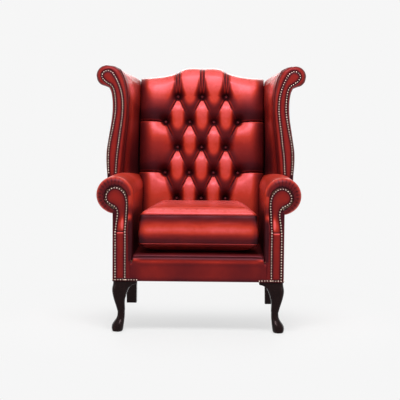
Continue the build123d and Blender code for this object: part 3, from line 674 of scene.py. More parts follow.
def make_nails(name, lines, axis, stands_for):
    """A piece of nail heads along lines, which face along an axis."""
    sizes = bpy.context.scene.chair_sizes
    tree = bpy.data.node_groups.get("nail_row") or nail_tree()
    points, edges = [], []
    for line in lines:
        first = len(points)
        points += metres(line).tolist()
        edges += [(first + i, first + i + 1) for i in range(len(line) - 1)]
    mesh = bpy.data.meshes.new(name + "_line")
    mesh.from_pydata(points, edges, [])
    carrier = bpy.data.objects.new(name + "_line", mesh)
    bpy.context.scene.collection.objects.link(carrier)
    modifier = carrier.modifiers.new("nails", "NODES")
    modifier.node_group = tree
    values = {"Pitch": sizes.nail_pitch, "Radius": sizes.nail_radius, "Rise": sizes.nail_radius * 0.7,
              "Axis": axis, "Seed": 7, "Finish": bpy.data.materials["aged_brass"]}
    for socket in tree.interface.items_tree:
        if socket.in_out == "INPUT" and socket.name in values:
            modifier[socket.identifier] = values[socket.name]
    bpy.context.view_layer.update()
    heads = bpy.data.meshes.new_from_object(carrier.evaluated_get(bpy.context.evaluated_depsgraph_get()))
    bpy.data.objects.remove(carrier)
    place_piece(name, heads, "aged_brass", stands_for)


# Buttoned back
BUTTON_GAP, BUTTON_RISE, FIRST_BUTTON = 107.0, 113.6, 265.0
TOP_BUTTON = FIRST_BUTTON + 4 * BUTTON_RISE
BUTTONS = [(BUTTON_GAP * column, FIRST_BUTTON + BUTTON_RISE * row) for row in range(5)
           for column in ((-1, 0, 1) if row % 2 == 0 else (-1.5, -0.5, 0.5, 1.5))]
BACK_HALF = 275.0
CREST = smooth_line([(0, 863.5), (50, 862), (85, 857.5), (103, 850), (118, 842), (135, 834), (160, 826), (195, 819.5),
                     (235, 816), (BACK_HALF, 815)], 120)


def crest_line(x):
    """Height of the back's ridge along its lean."""
    return np.interp(np.abs(x), CREST[:, 0], CREST[:, 1])


def pleats():
    """Pleats from an upper end to a lower one, with their depth and how crisp they stay at the lower end."""
    places = {(round(x, 1), round(v, 1)) for x, v in BUTTONS}
    found = []
    for x, v in BUTTONS:
        for way in (-1, 1):
            low = (x + way * BUTTON_GAP / 2, v - BUTTON_RISE)
            if (round(low[0], 1), round(low[1], 1)) in places:
                found.append(((x, v), low, 0.46, 0.1))
    for way in (-1, 1):
        for v in (FIRST_BUTTON + BUTTON_RISE, FIRST_BUTTON + 3 * BUTTON_RISE):
            found.append(((way * 1.5 * BUTTON_GAP, v), (way * 290, v + 4), 0.36, 0.9))
    for x in (-BUTTON_GAP, 0.0, BUTTON_GAP):
        for way in (-1, 1):
            found.append(((x, TOP_BUTTON), (x * 1.02 + way * 13, 880), 0.22, 0.9))
        found.append(((x, FIRST_BUTTON), (x, 40), 0.4, 0.4))
    return found


def back_shape(x, v):
    """Fullness of the buttoned back at points in its own plane, with its ridges, pleats and nearest buttons."""
    spots = np.column_stack([x, v])
    full = np.ones(len(x))
    ridge = np.zeros(len(x))
    line = np.zeros(len(x))
    for high, low, depth, tail in pleats():
        a, b = np.array(high), np.array(low)
        run = b - a
        t = np.clip(((spots - a) @ run) / (run @ run), 0, 1)
        d = np.linalg.norm(spots - a - t[:, None] * run, axis=1)
        crisp = 1 - (1 - tail) * step(0.3, 0.72, t)
        soft = np.sqrt(d**2 + (7 * (1 - crisp)) ** 2)
        full *= 1 - depth * (0.7 * np.exp(-soft / 21) + 0.3 * crisp * np.exp(-d / 4.2))
        ridge += crisp * bell(d - 5.4, 2.4) * (step(0.8, 0.5, t) if tail < 0.2 else 1)
        line = np.maximum(line, crisp * np.exp(-(d / 2.2) ** 2))
    near = np.full(len(x), 1e9)
    for bx, bv in BUTTONS:
        r = np.hypot(x - bx, v - bv)
        near = np.minimum(near, r)
        away = np.maximum(r - 8.5, 0)
        full *= 1 - 0.7 * np.exp(-(away / 13.0) ** 1.25) - 0.28 * np.exp(-away / 26)
    full *= 1 - 0.3 * np.clip((v - crest_line(x) + 170) / 118, 0, 1) ** 2
    return full, np.minimum(ridge, 1), line, near


# Lobes by height: painted highlights under the pleats, painted shade on their lower parts.
LOBE_WEAR_AND_LIGHT = np.array([
    (240, 0.74), (300, 0.84), (345, 0.96), (368, 1.02), (376, 0.7), (380, 0.06), (396, 0.08), (414, 0.18), (432, 0.34),
    (492, 0.56), (510, 0.64), (530, 0.74), (549, 0.88), (572, 1.02), (594, 1.04), (603, 0.7), (607, 0.08), (640, 0.1),
    (658, 0.22), (675, 0.38), (693, 0.54), (710, 0.7), (730, 0.84), (755, 1.0)]).T  # height, and rub-off with painted light
# Painted shade in haloes beside the pleats, by height.
HALO = np.array([
    (240, 5, 38), (330, 3, 22), (372, 1, 12), (381, 6, 46), (492, 5, 38), (560, 3, 20), (600, 1, 12), (608, 6, 46),
    (700, 12, 46), (719, 18, 44), (762, 12, 28), (845, 3, 11)], float).T  # height, where the dark begins and ends
# Each diamond by height: painted shade at its bottom, a painted highlight under the pleats' apex.
CELL_WEAR_AND_LIGHT = ([-0.5, -0.3, 0.1, 0.46, 0.6, 0.9], [0.7, 0.8, 0.83, 0.93, 1.05, 1.0])  # by height in the cell


def back_wear_and_light(x, v, line, ridge, near):
    """Rub-off of the buttoned back with painted light: painted highlights on the crowns and the pleats' rims, painted
    shade on the bottoms, round the buttons and in haloes along the pleats.
    """
    out = np.abs(x)
    level = (v - FIRST_BUTTON) / BUTTON_RISE
    p = x / BUTTON_GAP + level / 2
    q = x / BUTTON_GAP - level / 2
    fp, fq = p - np.floor(p) - 0.5, q - np.floor(q) - 0.5
    across, up = np.abs(fp + fq), fp - fq
    wide = np.minimum(0.56, np.maximum(0.98 - 0.9 * up, 0.03))
    oval = np.hypot(across / wide, np.maximum(0.12 - up, 0) / 0.5)
    height = np.interp(up - 0.5 * across ** 2, *CELL_WEAR_AND_LIGHT)
    cell = 0.27 + (height - 0.27) * step(1.2, 0.62, oval) - 0.1 * step(-0.45, -0.85, up)
    edge = BUTTON_GAP + BUTTON_GAP / 2 * np.abs((level + 1) % 2 - 1)
    gap = np.where(v > TOP_BUTTON, np.minimum(out, np.abs(out - BUTTON_GAP)), out - edge)
    near_edge, far_edge = np.interp(v, HALO[0], HALO[1]), np.interp(v, HALO[0], HALO[2])
    crown = np.interp(v - 4 * step(160, 290, out), *LOBE_WEAR_AND_LIGHT)
    crown = np.where((v > TOP_BUTTON) & (out < BUTTON_GAP), 0.83 + 0.19 * step(719, 800, v), crown)
    shade = step(264, 264 - np.interp(v, [240, 640, 700, 800], [48, 60, 56, 20]), out)
    low = np.minimum(crown, 0.24)
    lobe = low + (crown - low) * step(0, 1, (gap - near_edge) / (far_edge - near_edge)) * shade
    wear_and_light = np.where((out > edge) | (v > TOP_BUTTON), lobe, cell)
    # Painted shade in the pleat lines and round the buttons, painted highlights on the pleats' rims.
    wear_and_light = wear_and_light * (1 - 0.92 * np.minimum(1, line)) + 0.34 * ridge * step(12, 24, near)
    return np.clip(wear_and_light * (0.05 + 0.95 * step(9, 25, near)), 0, 1)


def lean_back(x, w, v):
    """World points of the leaning back: w forward from its outside face and v up."""
    y = BACK_FOOT + v * math.sin(LEAN) - w * math.cos(LEAN)
    z = LEG_TOP + v * math.cos(LEAN) + w * math.sin(LEAN)
    return np.column_stack([x, y, z])


def back_level(w, z):
    """How far up the lean a height is, w forward of the back's outside face."""
    return (z - LEG_TOP - w * math.sin(LEAN)) / math.cos(LEAN)


def back_place(w, z):
    """How far back the leaning back is at a height, w forward of its outside face."""
    return BACK_FOOT + back_level(w, z) * math.sin(LEAN) - w * math.cos(LEAN)


def make_back():
    """Buttoned back, as upright rings from its foot over the crest and down behind."""
    tuft = bpy.context.scene.chair_sizes.tuft * 1000
    columns = np.linspace(-BACK_HALF, BACK_HALF, 257)
    rows, rolls, heels = 310, 18, 8
    ring = rows + rolls + heels + 3
    roll_start, roll_drop, post_front = 0.3, 52, 50.3
    points, wear_and_light_rows = [], []
    side = np.clip((np.abs(columns) - 200) / 75, 0, 1)
    front = 150 - 34 * (1 - np.sqrt(1 - side**2))
    for x, w0, ridge_v in zip(columns, front, crest_line(columns)):
        low = back_level(w0 - 20, SEAT)
        high = ridge_v - roll_drop
        v = np.linspace(low, high, rows)
        full, ridge, line, near = back_shape(np.full(rows, x), v)
        w = w0 - tuft * (1 - full) + 1.5 * ridge * step(12, 24, near)
        w = w - 16 * step(45, 0, v - low) ** 2
        half = w[-1] / 2
        crown = ridge_v - 0.62 * tuft * max(0.7 - full[-1], 0)
        turn = np.linspace(roll_start, math.pi / 2, rolls + 1)[1:]
        roll_w = half + half * np.cos(turn) / math.cos(roll_start)
        roll_v = high + (crown - high) * (np.sin(turn) - math.sin(roll_start)) / (1 - math.sin(roll_start))
        turn = np.linspace(math.pi / 2, 0, heels + 1)[1:]
        heel_w = half * np.cos(turn)
        heel_v = ridge_v - 26 + (crown - ridge_v + 26) * np.sin(turn)
        last_w = [0.0, post_front, post_front]
        last_v = [ridge_v - 43.7, ridge_v - 43.7, back_level(post_front, SEAT)]
        ws = np.concatenate([w, roll_w, heel_w, last_w])
        vs = np.concatenate([v, roll_v, heel_v, last_v])
        points.append(lean_back(np.full(ring, x), ws, vs))
        worn_and_lit = back_wear_and_light(np.full(rows, x), v, line, ridge, near)
        # Over the crest the hide turns lighter as a painted highlight, and a little darker on the heel behind.
        over = worn_and_lit[-1] + (0.7 - worn_and_lit[-1]) * 0.8 * np.linspace(0, 1, rolls) * (1 - 0.8 * line[-1])
        wear_and_light_rows.append(np.concatenate([worn_and_lit, over, np.full(heels + 3, over[-1] * 0.8)]))
    points = np.vstack(points)
    z = points[:, 2]
    roll_x, roll_z, roll_radius = ROLL
    beside = np.full(len(points), BACK_HALF - 0.1)
    beside[z < roll_z] = roll_x - roll_radius - 0.6
    curve = (z >= roll_z) & (z < roll_z + roll_radius)
    rolled = roll_x - np.sqrt(np.maximum((roll_radius + 0.6)**2 - (z[curve] - roll_z) ** 2, 0))
    beside[curve] = np.minimum(beside[curve], rolled)
    points[:, 0] = np.sign(points[:, 0]) * np.minimum(np.abs(points[:, 0]), beside)
    pad = make_piece("buttoned_back", points, ring_faces(len(columns), ring), np.concatenate(wear_and_light_rows), ["back_pad"],
                     crisp=75)
    make_buttons()


def make_buttons():
    """Covered buttons: a domed disc with its leather gathered to a rim."""
    profile = [(0.0, 6.4), (2.6, 6.1), (5.2, 5.0), (7.4, 3.2), (8.7, 1.2), (8.9, -0.6), (7.0, -1.6), (0.0, -1.6)]
    around = 20
    pulled_in = 108.4
    points, faces, wear_and_light_rows = [], [], []
    for bx, bv in BUTTONS:
        first = len(points)
        for r, w in profile:
            for i in range(around):
                turn = 2 * math.pi * i / around
                points.append((bx + r * math.cos(turn), pulled_in + w, bv + r * math.sin(turn)))
                # A painted glint lightens the top of each button, which is darker towards its rim.
                wear_and_light_rows.append(0.5 if r < 2 else 0.16 if r < 6 else 0.04)
        faces += [tuple(first + i for i in face) for face in ring_faces(len(profile), around, False)]
    make_piece("covered_buttons", lean_back(*np.array(points).T), faces, wear_and_light_rows, ["back_buttons"], crisp=80)


# Arms
WALL_POINTS, ROLL_POINTS = 60, 150  # points of the arm's outline on its inside wall and round its roll


def arm_outline():
    """Skin of the arm in front view, from the foot of its inside wall over the roll to the outside."""
    end = math.degrees(math.atan2(462.3 - ROLL[1], SIDE - ROLL[0]))
    wall = np.column_stack([np.full(WALL_POINTS, 254.0), np.linspace(278.6, 531, WALL_POINTS)])
    return np.vstack([wall, circle_line(ROLL[:2], ROLL[2], 180.0, end, ROLL_POINTS)])


ARM_HEM = [(266, 278), (268, 330), (273, 388), (273.5, 410), (271.5, 440), (271.5, 470), (272, 505), (274.5, 525),
           (283, 547), (300, 562), (319, 566.5), (338, 563), (353, 551), (361.5, 533), (361, 512), (352, 498),
           (340, 489.5), (328, 480), (321, 470)]
ARM_HEM_AT = [0, 12, 26, 32, 39, 46, 54, 60, 78, 94, 106, 120, 136, 152, 168, 182, 192, 201, 209]
KEYHOLE = [(283.5, 391), (281, 426), (278.7, 460.5), (277, 490), (277.5, 510), (283, 533), (296, 551), (313, 560.5),
           (331, 560), (346, 550), (355.5, 534), (356, 518), (349, 505), (338.9, 498), (324, 490), (315, 479),
           (312, 466), (313, 450), (316.5, 426), (320.5, 391)]


def arm_hem():
    """Where the arm's skin meets its facing, one point for each of the outline's."""
    at = np.arange(WALL_POINTS + ROLL_POINTS)
    hem = np.column_stack([np.interp(at, ARM_HEM_AT, given) for given in np.transpose(ARM_HEM)])
    kernel = np.hanning(9) / np.hanning(9).sum()
    for i in range(2):
        hem[4:-4, i] = np.convolve(hem[:, i], kernel, "valid")
    return hem


def make_arm(side, name):
    """Rolled arm, its nailed facings and its outside panel."""
    make_arm_pad(side, name)
    keyhole = smooth_line(KEYHOLE, 150)
    strip = [np.array([(x, 391.0), (x, 205.5)]) for x in (283.0, 321.0)] + [np.array([(331, 205.5), (237, 205.5)])]
    make_keyhole_facing(side, name, keyhole)
    make_strip_facing(side, name, strip)
    make_post_cover(side, name)
    rows = [np.column_stack([side * line[:, 0], np.full(len(line), -2.6), line[:, 1]]) for line in [keyhole] + strip]
    make_nails("arm_nail_rows_" + name, rows, (0, -1, 0), ["arm_nails_" + name])
    make_outside_arm(side, name)


def make_arm_pad(side, name):
    """Inside and roll of the arm, gathered round its facing, with a lining inside the skin."""
    outline, hem = arm_outline(), arm_hem()
    count, height = len(outline), outline[:, 1]
    index = np.arange(count)
    run = np.gradient(outline, axis=0)
    run /= np.linalg.norm(run, axis=1)[:, None]
    outward = np.column_stack([-run[:, 1], run[:, 0]])
    wall = index < WALL_POINTS
    flap = wall * bell(height - 398, 26) * step(388, 394, height)
    radius = 17 + 4 * step(60, 90, index) - 15 * step(192, 209, index)
    pleat_zone = step(84, 100, index) * step(206, 196, index)
    ripple = 0.5 + 0.5 * np.cos((index - 84) * 2 * math.pi / 8.2)
    fold = pleat_zone * ripple ** 6
    front_rows = 14
    rows, wear_and_light_rows = [], []
    for s in np.linspace(0, 1, front_rows):
        inset = outline - outward * radius[:, None]
        flat = hem + (inset - hem) * s
        bulge = 5.0 * math.sin(math.pi * (0.12 + 0.55 * s)) * step(0, 0.08, s) - 2.0 + 1.2 * flap
        y = 0.6 - bulge + 2.4 * fold * (1 - 0.75 * s) + 1.2 * flap * s
        rows.append(np.column_stack([flat[:, 0], np.broadcast_to(y, count), flat[:, 1]]))
        # Front of the arm: painted shade near the facing and in the pleats, a painted highlight along the flap's fold,
        # and painted shade on the inside wall below the seam.
        ring = 0.22 - 0.2 * bell(s, 0.3) + 0.12 * s + 0.12 * (ripple - 0.5) * pleat_zone
        neck = 0.14 + 0.95 * bell(height - 398 - 50 * s, 13) + 0.3 * step(470, 530, height)
        below = np.where(height < 391, 0.14, neck)
        wear_and_light_rows.append(np.where(wall, below, ring) - 0.4 * fold * (1 - 0.5 * s))
    for turn in np.linspace(0, math.pi / 2, 11)[1:]:
        section = outline - outward * (radius * (1 - math.sin(turn)))[:, None]
        y = radius * (1 - math.cos(turn)) - 1.9 + 1.6 * turn / (math.pi / 2)
        y = y + 0.8 * fold * math.cos(turn) + 1.2 * flap * math.cos(turn)
        rows.append(np.column_stack([section[:, 0], y, section[:, 1]]))
        # Round the soft edge: a painted highlight on the roll's front crown and along the flap, painted shade low on
        # the inside wall.
        rim = 0.32 + 0.48 * step(0.2, 1.1, turn)
        flank = 0.06 + 0.8 * bell(height - 450, 15) * math.cos(turn) + 0.66 * step(450, 510, height)
        wear_and_light_rows.append(np.where(wall, flank, rim) - 0.3 * fold * math.cos(turn))
    behind = np.where(outline[:, 0] < 327, 48.6, 3.4)
    end = back_place(behind, height)
    front = rows[-1][:, 1]
    for t in np.linspace(0, 1, 60)[1:]:
        t = t ** 1.25
        y = front + (end - front) * t
        swell = 2.2 * np.sin(math.pi * np.clip((height - 300) / 190, 0, 1)) * wall * math.sin(math.pi * t)
        seam = 0.9 * bell(y - 62, 2.2) * ~wall
        section = outline + outward * (swell * 0.4 - seam)[:, None]
        rows.append(np.column_stack([section[:, 0], y, section[:, 1]]))
        # Along the arm: lighter on the roll and the wall's top as painted highlight, darker towards the back and the
        # outside, painted shade low on the inside wall; the seam is a darker line.
        roll = 0.74 - 0.2 * step(0.5, 1.0, t) + 0.1 * np.sin(index * 0.06 + 4 * t) - 0.3 * step(140, 209, index)
        inside = 0.05 + 0.66 * step(430, 525, height) - 0.3 * step(0.3, 0.9, t) * step(440, 530, height)
        wear_and_light_rows.append(np.where(wall, inside, roll) - 0.45 * bell(y - 62, 2.6) * ~wall)
    depth, thin, lining = 8.0, 2.4, []
    for k, row in enumerate(rows):
        share = min(1, max(0, k + 1 - front_rows) / 10)
        inner = row + (0, thin * (1 - share), 0)
        if share:
            inner[:, ::2] -= outward * (depth * share + 0.5)
        lining.append(inner)
    wear_and_light = np.concatenate([*wear_and_light_rows, np.full(len(rows) * count, 0.2)])
    pad = make_piece("rolled_arm_" + name, rows + lining, sheet_faces(len(rows), count), wear_and_light, ["arm_pad_" + name],
                     side=side, crisp=70)


def make_keyhole_facing(side, name, loop):
    """Facing on the front of the roll, with a painted highlight in its hollow and painted shade along its nails and its
    foot, and a row of nails along its loop.
    """
    run = np.gradient(loop, axis=0)
    run /= np.linalg.norm(run, axis=1)[:, None]
    rim = loop + np.column_stack([-run[:, 1], run[:, 0]]) * 4.6
    rim[0], rim[-1] = (278.8, 391.4), (325.2, 391.4)
    rim = np.vstack([rim, np.linspace(rim[-1], rim[0], 18)[1:-1]])
    shell, faces, _ = puffed_plate(rim[::-1], 3.0, 2.2, 2.6, 9)
    row = reach(shell[:, :2], loop)
    wear_and_light = 0.42 - 0.62 * bell(row, 6.0) + 0.34 * bell(shell[:, 1] - 418, 24) * step(3, 12, row)
    wear_and_light = wear_and_light + 0.6 * bell(shell[:, 1] - 424, 26) * bell(shell[:, 0] - 292, 5)
    wear_and_light = wear_and_light - 0.3 * bell(shell[:, 1] - 391, 4) + 0.08 * step(10, 26, row)
    make_piece("keyhole_facing_" + name, facing_front(pressed(shell, row, 0.9, 3.0)), faces, wear_and_light,
               ["arm_facing_" + name], side=side)


def make_strip_facing(side, name, lines):
    """Facing below the keyhole, down the front of the arm and along the border's end."""
    rim = edged([(278.0, 390.6), (278.0, 212.5), (237.0, 212.5), (237.0, 199.0), (SIDE, 199.0), (SIDE, 204.0),
                 (326.3, 209.0), (325.6, 390.6)], 3)
    shell, faces, _ = puffed_plate(rim, 3.4, 2.0, 1.4, 8)
    row = np.min([reach(shell[:, :2], line) for line in lines], axis=0)
    # Painted shade along the nails, a painted highlight on the folded top edge.
    wear_and_light = 0.5 - 0.7 * bell(row, 6.2) - 0.04 * step(330, 215, shell[:, 1])
    wear_and_light = wear_and_light + 0.7 * bell(shell[:, 1] - 388.5, 3) * step(4, 9, row)
    make_piece("strip_facing_" + name, facing_front(pressed(shell, row, 0.8, 2.8)), faces, wear_and_light,
               ["post_facing_" + name], side=side)


def make_post_cover(side, name):
    """Leather over the front of the arm's post, behind its facings."""
    rim = edged([(256.5, LEG_TOP), (331.3, LEG_TOP), (331.3, 470.0), (326.0, 482.0), (290.0, 508.0), (272.0, 490.0),
                 (266.0, 388.0), (262.0, 340.0)], 4)
    shell, faces, edge = puffed_plate(rim, 4.5, 2.4, 0.9, 12)
    wear_and_light = 0.2 + 0.14 * step(0, 14, edge) - 0.2 * step(380, 455, shell[:, 1])
    make_piece("post_cover_hide_" + name, facing_front(shell, 2.9), faces, wear_and_light, ["post_cover_" + name], side=side)


def make_outside_arm(side, name):
    """Leather panel on the outside of the arm, swelling a little between its edges."""
    across, top = np.linspace(0, 1, 90), 462.0
    up = np.linspace(LEG_TOP, top, 44)
    skin, lining, wear_and_light_rows = [], [], []
    for z in up:
        rear = back_place(3.2, z)
        y = 0.2 + (rear - 0.2) * across
        edge = np.maximum(np.minimum(np.minimum(y, rear - y), min(z - LEG_TOP, top - z)), 0)
        level = np.full(len(y), z)
        skin.append(np.column_stack([331.0 + 2.4 * (1 - np.exp(-edge / 26)), y, level]))
        lining.append(np.column_stack([np.full(len(y), 328.8), y, level]))
        wear_and_light_rows.append(0.3 + 0.42 * (1 - np.exp(-edge / 34)))
    make_piece("outside_arm_" + name, skin + lining, sheet_faces(len(up), len(across)), np.concatenate(wear_and_light_rows * 2),
               ["outside_arm_panel_" + name], side=side)


# Border, deck and back panel
def make_border():
    """Front border: a rounded lip, a gentle swell and small folds where it tucks in at the arms."""
    xs = np.linspace(-263.0, 263.0, 150)
    rings, wear_and_light_rows = [], []
    for x in xs:
        out = abs(x)
        fold = step(214, 250, out)
        top = 296.0 if out < 253.6 else 277.6
        lip_top = min(296.0 - 2.5 * fold, top)
        face_z = np.linspace(200.4, lip_top - 16, 26)
        swell = 1.6 * np.sin(math.pi * np.clip((face_z - 200) / 90, 0, 1)) + 0.6
        crimp = 1.6 * fold * bell(face_z - 282 + 0.5 * (263 - out), 6)
        skirt_y = -swell + crimp
        turn = np.linspace(0, math.pi / 2, 10)[1:]
        lip_y = 16 - 16 * np.cos(turn) - 1.0
        lip_z = lip_top - 16 + 16 * np.sin(turn)
        ys = np.concatenate([[2.9], [0.2], skirt_y, lip_y, [17.8, 17.8, 2.9]])
        zs = np.concatenate([[200.2], [200.2], face_z, lip_z, [lip_top, 278.2, 278.2]])
        if out >= 253.6:
            zs = np.minimum(zs, 277.8)
            ys[-3:-1] = 2.9
        rings.append(np.column_stack([np.full(len(ys), x), ys, zs]))
        # Painted highlight along the top of the face, painted shade at its foot and in the folds by the arms, and
        # painted shade on the lip's top under the cushion.
        worn_and_lit = 0.4 + 0.22 * bell(face_z - 277, 5) + 0.05 * np.sin(x / 37.0)
        worn_and_lit = worn_and_lit - 0.18 * bell(face_z - 203, 9) - 0.08 * bell(face_z - 264, 6) * (1 - fold)
        lip = 0.5 - 0.42 * step(0, 0.55, turn / turn[-1]) + 0.5 * fold * bell(turn - 0.5, 0.4) * step(253, 246, out)
        wear_and_light_rows.append(np.concatenate([[0.2, 0.2], worn_and_lit * (1 - 0.3 * fold), lip, [0.1, 0.1, 0.1]]))
    pad = make_piece("front_border_hide", rings, ring_faces(len(rings), len(rings[0])), np.concatenate(wear_and_light_rows),
                     ["front_border"], crisp=60)


def make_deck():
    """Padded deck under the cushion, dropping towards its edges."""
    low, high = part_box("seat_deck")
    x0, x1, z0 = low.x * 1000, high.x * 1000, low.z * 1000
    y0 = (low.y - front_y) * 1000
    rear = back_place(4.0, SEAT)
    across, count = 60, 70
    top_y = y0 + (rear - y0) * np.linspace(0, 1, count)
    rings = []
    for x in np.linspace(x0, x1, across):
        edge = min(x - x0, x1 - x)
        gap = np.minimum(np.minimum(top_y - y0, edge + 2), rear - top_y + 8)
        top_z = SEAT - 0.8 - 9 * np.exp(-np.maximum(gap, 0) / 9)
        ys = np.concatenate([top_y, [rear, y0]])
        zs = np.concatenate([top_z, [z0, z0]])
        rings.append(np.column_stack([np.full(len(ys), x), ys, zs]))
    # The deck's hide is kept dark as painted shade for the gap under the cushion.
    wear_and_light = [0.22] * count + [0.2, 0.2]
    pad = make_piece("seat_deck_cover", rings, ring_faces(across, count + 2), wear_and_light * across, ["seat_deck"], crisp=60)


def make_back_panel():
    """Leather over the outside of the back, raised where it covers the shoulders of the crest rail."""
    half, foot = 331.0, 1.0
    xs = np.linspace(-half, half, 110)
    shoulder = 8 * bell(np.abs(xs) - 120, 18)
    top = np.column_stack([xs, crest_line(np.clip(xs, -BACK_HALF, BACK_HALF)) - 44.0 + shoulder])
    rim = np.vstack([top[::-1], spaced([(-half, top[0, 1]), (-half, foot)], 130)[1:],
                     spaced([(-half, foot), (half, foot)], 110)[1:],
                     spaced([(half, foot), (half, top[-1, 1])], 130)[1:-1]])
    shell, faces, edge = puffed_plate(rim, 9.0, 2.2, 2.6, 40)
    wear_and_light = 0.3 + 0.4 * (1 - np.exp(-edge / 40))
    world = lean_back(shell[:, 0], 2.8 - shell[:, 2], shell[:, 1])
    make_piece("outside_back_hide", world, faces, wear_and_light, ["outside_back_panel"])


# Seat cushion
def cushion_plan(inset, spread=0):
    """Plan of the cushion as a closed line, its sides drawn in between the corners."""
    front, rear = 18 + inset, 512 - inset
    wide, narrow = 225 - inset + spread, 198 - inset
    middle = (front + rear) / 2
    waist = (wide + narrow) / 2 + 1
    corner = max(10 - inset * 0.05, 6)
    sides = [
        [(-wide, front), (0, front + 3), (wide, front)],
        [(wide, front), (waist, middle), (narrow, rear)],
        [(narrow, rear), (0, rear - 4), (-narrow, rear)],
        [(-narrow, rear), (-waist, middle), (-wide, front)],
    ]
    line = []
    for side in sides:
        whole = smooth_line(side, 90)
        keep = reach(whole, np.array([side[0], side[0]])) > corner
        keep &= reach(whole, np.array([side[-1], side[-1]])) > corner
        line.append(whole[keep])
    joined = []
    for this, after in zip(line, line[1:] + line[:1]):
        joined.append(this)
        a, b = this[-1], after[0]
        tangent = (this[-1] - this[-2]) / np.linalg.norm(this[-1] - this[-2])
        peak = a + tangent * np.linalg.norm(b - a) * 0.66
        t = np.linspace(0, 1, 9)[1:-1, None]
        joined.append((1 - t) ** 2 * a + 2 * t * (1 - t) * peak + t**2 * b)
    return spaced(np.vstack(joined + [joined[0][:1]]), 241)[:-1]


CUSHION_MIDDLE = (0.0, 265.0)
LOW_SEAM, HIGH_SEAM = (343.5, 1.5, 14), (456.5, 4, 8)  # height, inset and spread of the plan
# By height: painted shade in bands beside the seams, painted highlights across the middle of the front and along the
# top front edge.
CUSHION_WEAR_AND_LIGHT = [(308, 0.2), (321, 0.3), (334, 0.38), (347, 0.2), (360, 0.24), (374, 0.5), (387, 0.8), (400, 0.9),
                (413, 0.8), (426, 0.6), (440, 0.27), (453, 0.2), (458, 0.7), (463, 0.94), (474, 0.94), (479, 0.86),
                (481, 0.8)]


def make_cushion():
    """Loose cushion: layers made one even mesh, filled with air and drawn in along its seams."""
    layers = [(307.5, 120, 0), (308.5, 96, 0), (314, 62, 2), (324, 30, 6), (335, 9, 11), LOW_SEAM,
              (372, -3, 7), (400, -4, 3), (428, -3, 1), HIGH_SEAM, (462, 8, 6), (467.5, 13, 5),
              (472.5, 21, 3), (476.5, 31, 1), (479.3, 44, 0), (481, 66, 0), (481.5, 110, 0)]
    rings = []
    for z, inset, spread in layers:
        plan = cushion_plan(inset, spread)
        rings.append(np.column_stack([plan, np.full(len(plan), z)]))
    mesh = bpy.data.meshes.new("seat_cushion")
    mesh.from_pydata(metres(rings).tolist(), [], ring_faces(len(rings), len(rings[0])))
    mesh = modified(mesh, remesh(0.006), ("SMOOTH", {"factor": 0.5, "iterations": 3}))
    swell_cushion(mesh)
    final = modified(mesh, ("SUBSURF", {"levels": 1, "render_levels": 1}))

    place = numbers(final, "co").astype(float)
    place[:, 1] -= front_y
    place *= 1000
    z = place[:, 2]
    outwards = place[:, :2] - CUSHION_MIDDLE
    far = np.linalg.norm(outwards, axis=1)
    outwards /= np.maximum(far, 1e-9)[:, None]
    low_gap, high_gap = z - LOW_SEAM[0], z - HIGH_SEAM[0]
    pinch = 1.8 * bell(high_gap, 5) + 1.6 * bell(low_gap, 5)
    place[:, :2] -= outwards * (pinch * step(150, 190, far))[:, None]
    crease = 1.0 * np.sin(place[:, 0] / 23) * bell(z - 440, 12) + 0.8 * np.sin(place[:, 0] / 31 + 1) * bell(z - 362, 12)
    front = step(60, 20, place[:, 1])
    place[:, 1] -= crease * front
    final.vertices.foreach_set("co", metres(place).astype(np.float32).ravel())
    # The top grows lighter towards the back; painted shade at the front corners, and darker lines along the seams.
    wear_and_light = np.interp(z, *zip(*CUSHION_WEAR_AND_LIGHT)) + 0.12 * step(60, 320, place[:, 1]) * step(470, 480, z)
    corner = bell(np.abs(place[:, 0]) - 228, 16) * front
    paint_wear_and_light(final, wear_and_light - 0.3 * corner - 0.3 * bell(high_gap, 2.5) - 0.2 * bell(low_gap, 2.5))
    made = place_piece("seat_cushion", final, "rubbed_hide", ["seat_cushion_cover"], "seat_cushion", 80)
    make_filling(final)
    make_piping(final, [(height, cushion_plan(inset, spread)) for height, inset, spread in (LOW_SEAM, HIGH_SEAM)])


def make_filling(cover):
    """Filling of the cushion in its case, just inside the cover."""
    gap = 0.006
    inner = numbers(cover, "co") - gap * numbers(cover, "normal")
    rough = bpy.data.meshes.new("filling")
    rough.from_pydata(inner.tolist(), [], [tuple(face.vertices) for face in cover.polygons])
    made = place_piece("cushion_filling", modified(rough, remesh(0.008)), "cushion_case", ["seat_cushion_core"],
                       "seat_cushion", 80)


def swell_cushion(mesh):
    """Fills the cushion with air under cloth, and lets each point move outwards only, up to a cap."""
    scene = bpy.context.scene
    last, cap = 20, 0.003
    cushion = bpy.data.objects.new("swelling", mesh)
    scene.collection.objects.link(cushion)
    before, facing = numbers(mesh, "co"), numbers(mesh, "normal")
    cloth = cushion.modifiers.new("leather_cloth", "CLOTH")
    settings = cloth.settings
    settings.quality = 5
    settings.mass = 0.4
    settings.tension_stiffness = settings.compression_stiffness = 25
    settings.shear_stiffness = 12
    settings.bending_stiffness = 4
    settings.use_pressure = True
    settings.uniform_pressure_force = scene.chair_sizes.pressure
    settings.effector_weights.gravity = 0
    cloth.point_cache.frame_start = scene.frame_start = 1
    cloth.point_cache.frame_end = scene.frame_end = last
    for number in range(1, last + 1):
        scene.frame_set(number)
    swollen = bpy.data.meshes.new_from_object(cushion.evaluated_get(bpy.context.evaluated_depsgraph_get()))
    swell = np.clip(((numbers(swollen, "co") - before) * facing).sum(axis=1), 0, cap)
    place = before + facing * swell[:, None]
    place[:, 2] = np.maximum(place[:, 2], (SEAT + 0.9) / 1000)
    bpy.data.objects.remove(cushion)
    scene.frame_set(1)
    mesh.vertices.foreach_set("co", place.ravel())
    mesh.update()


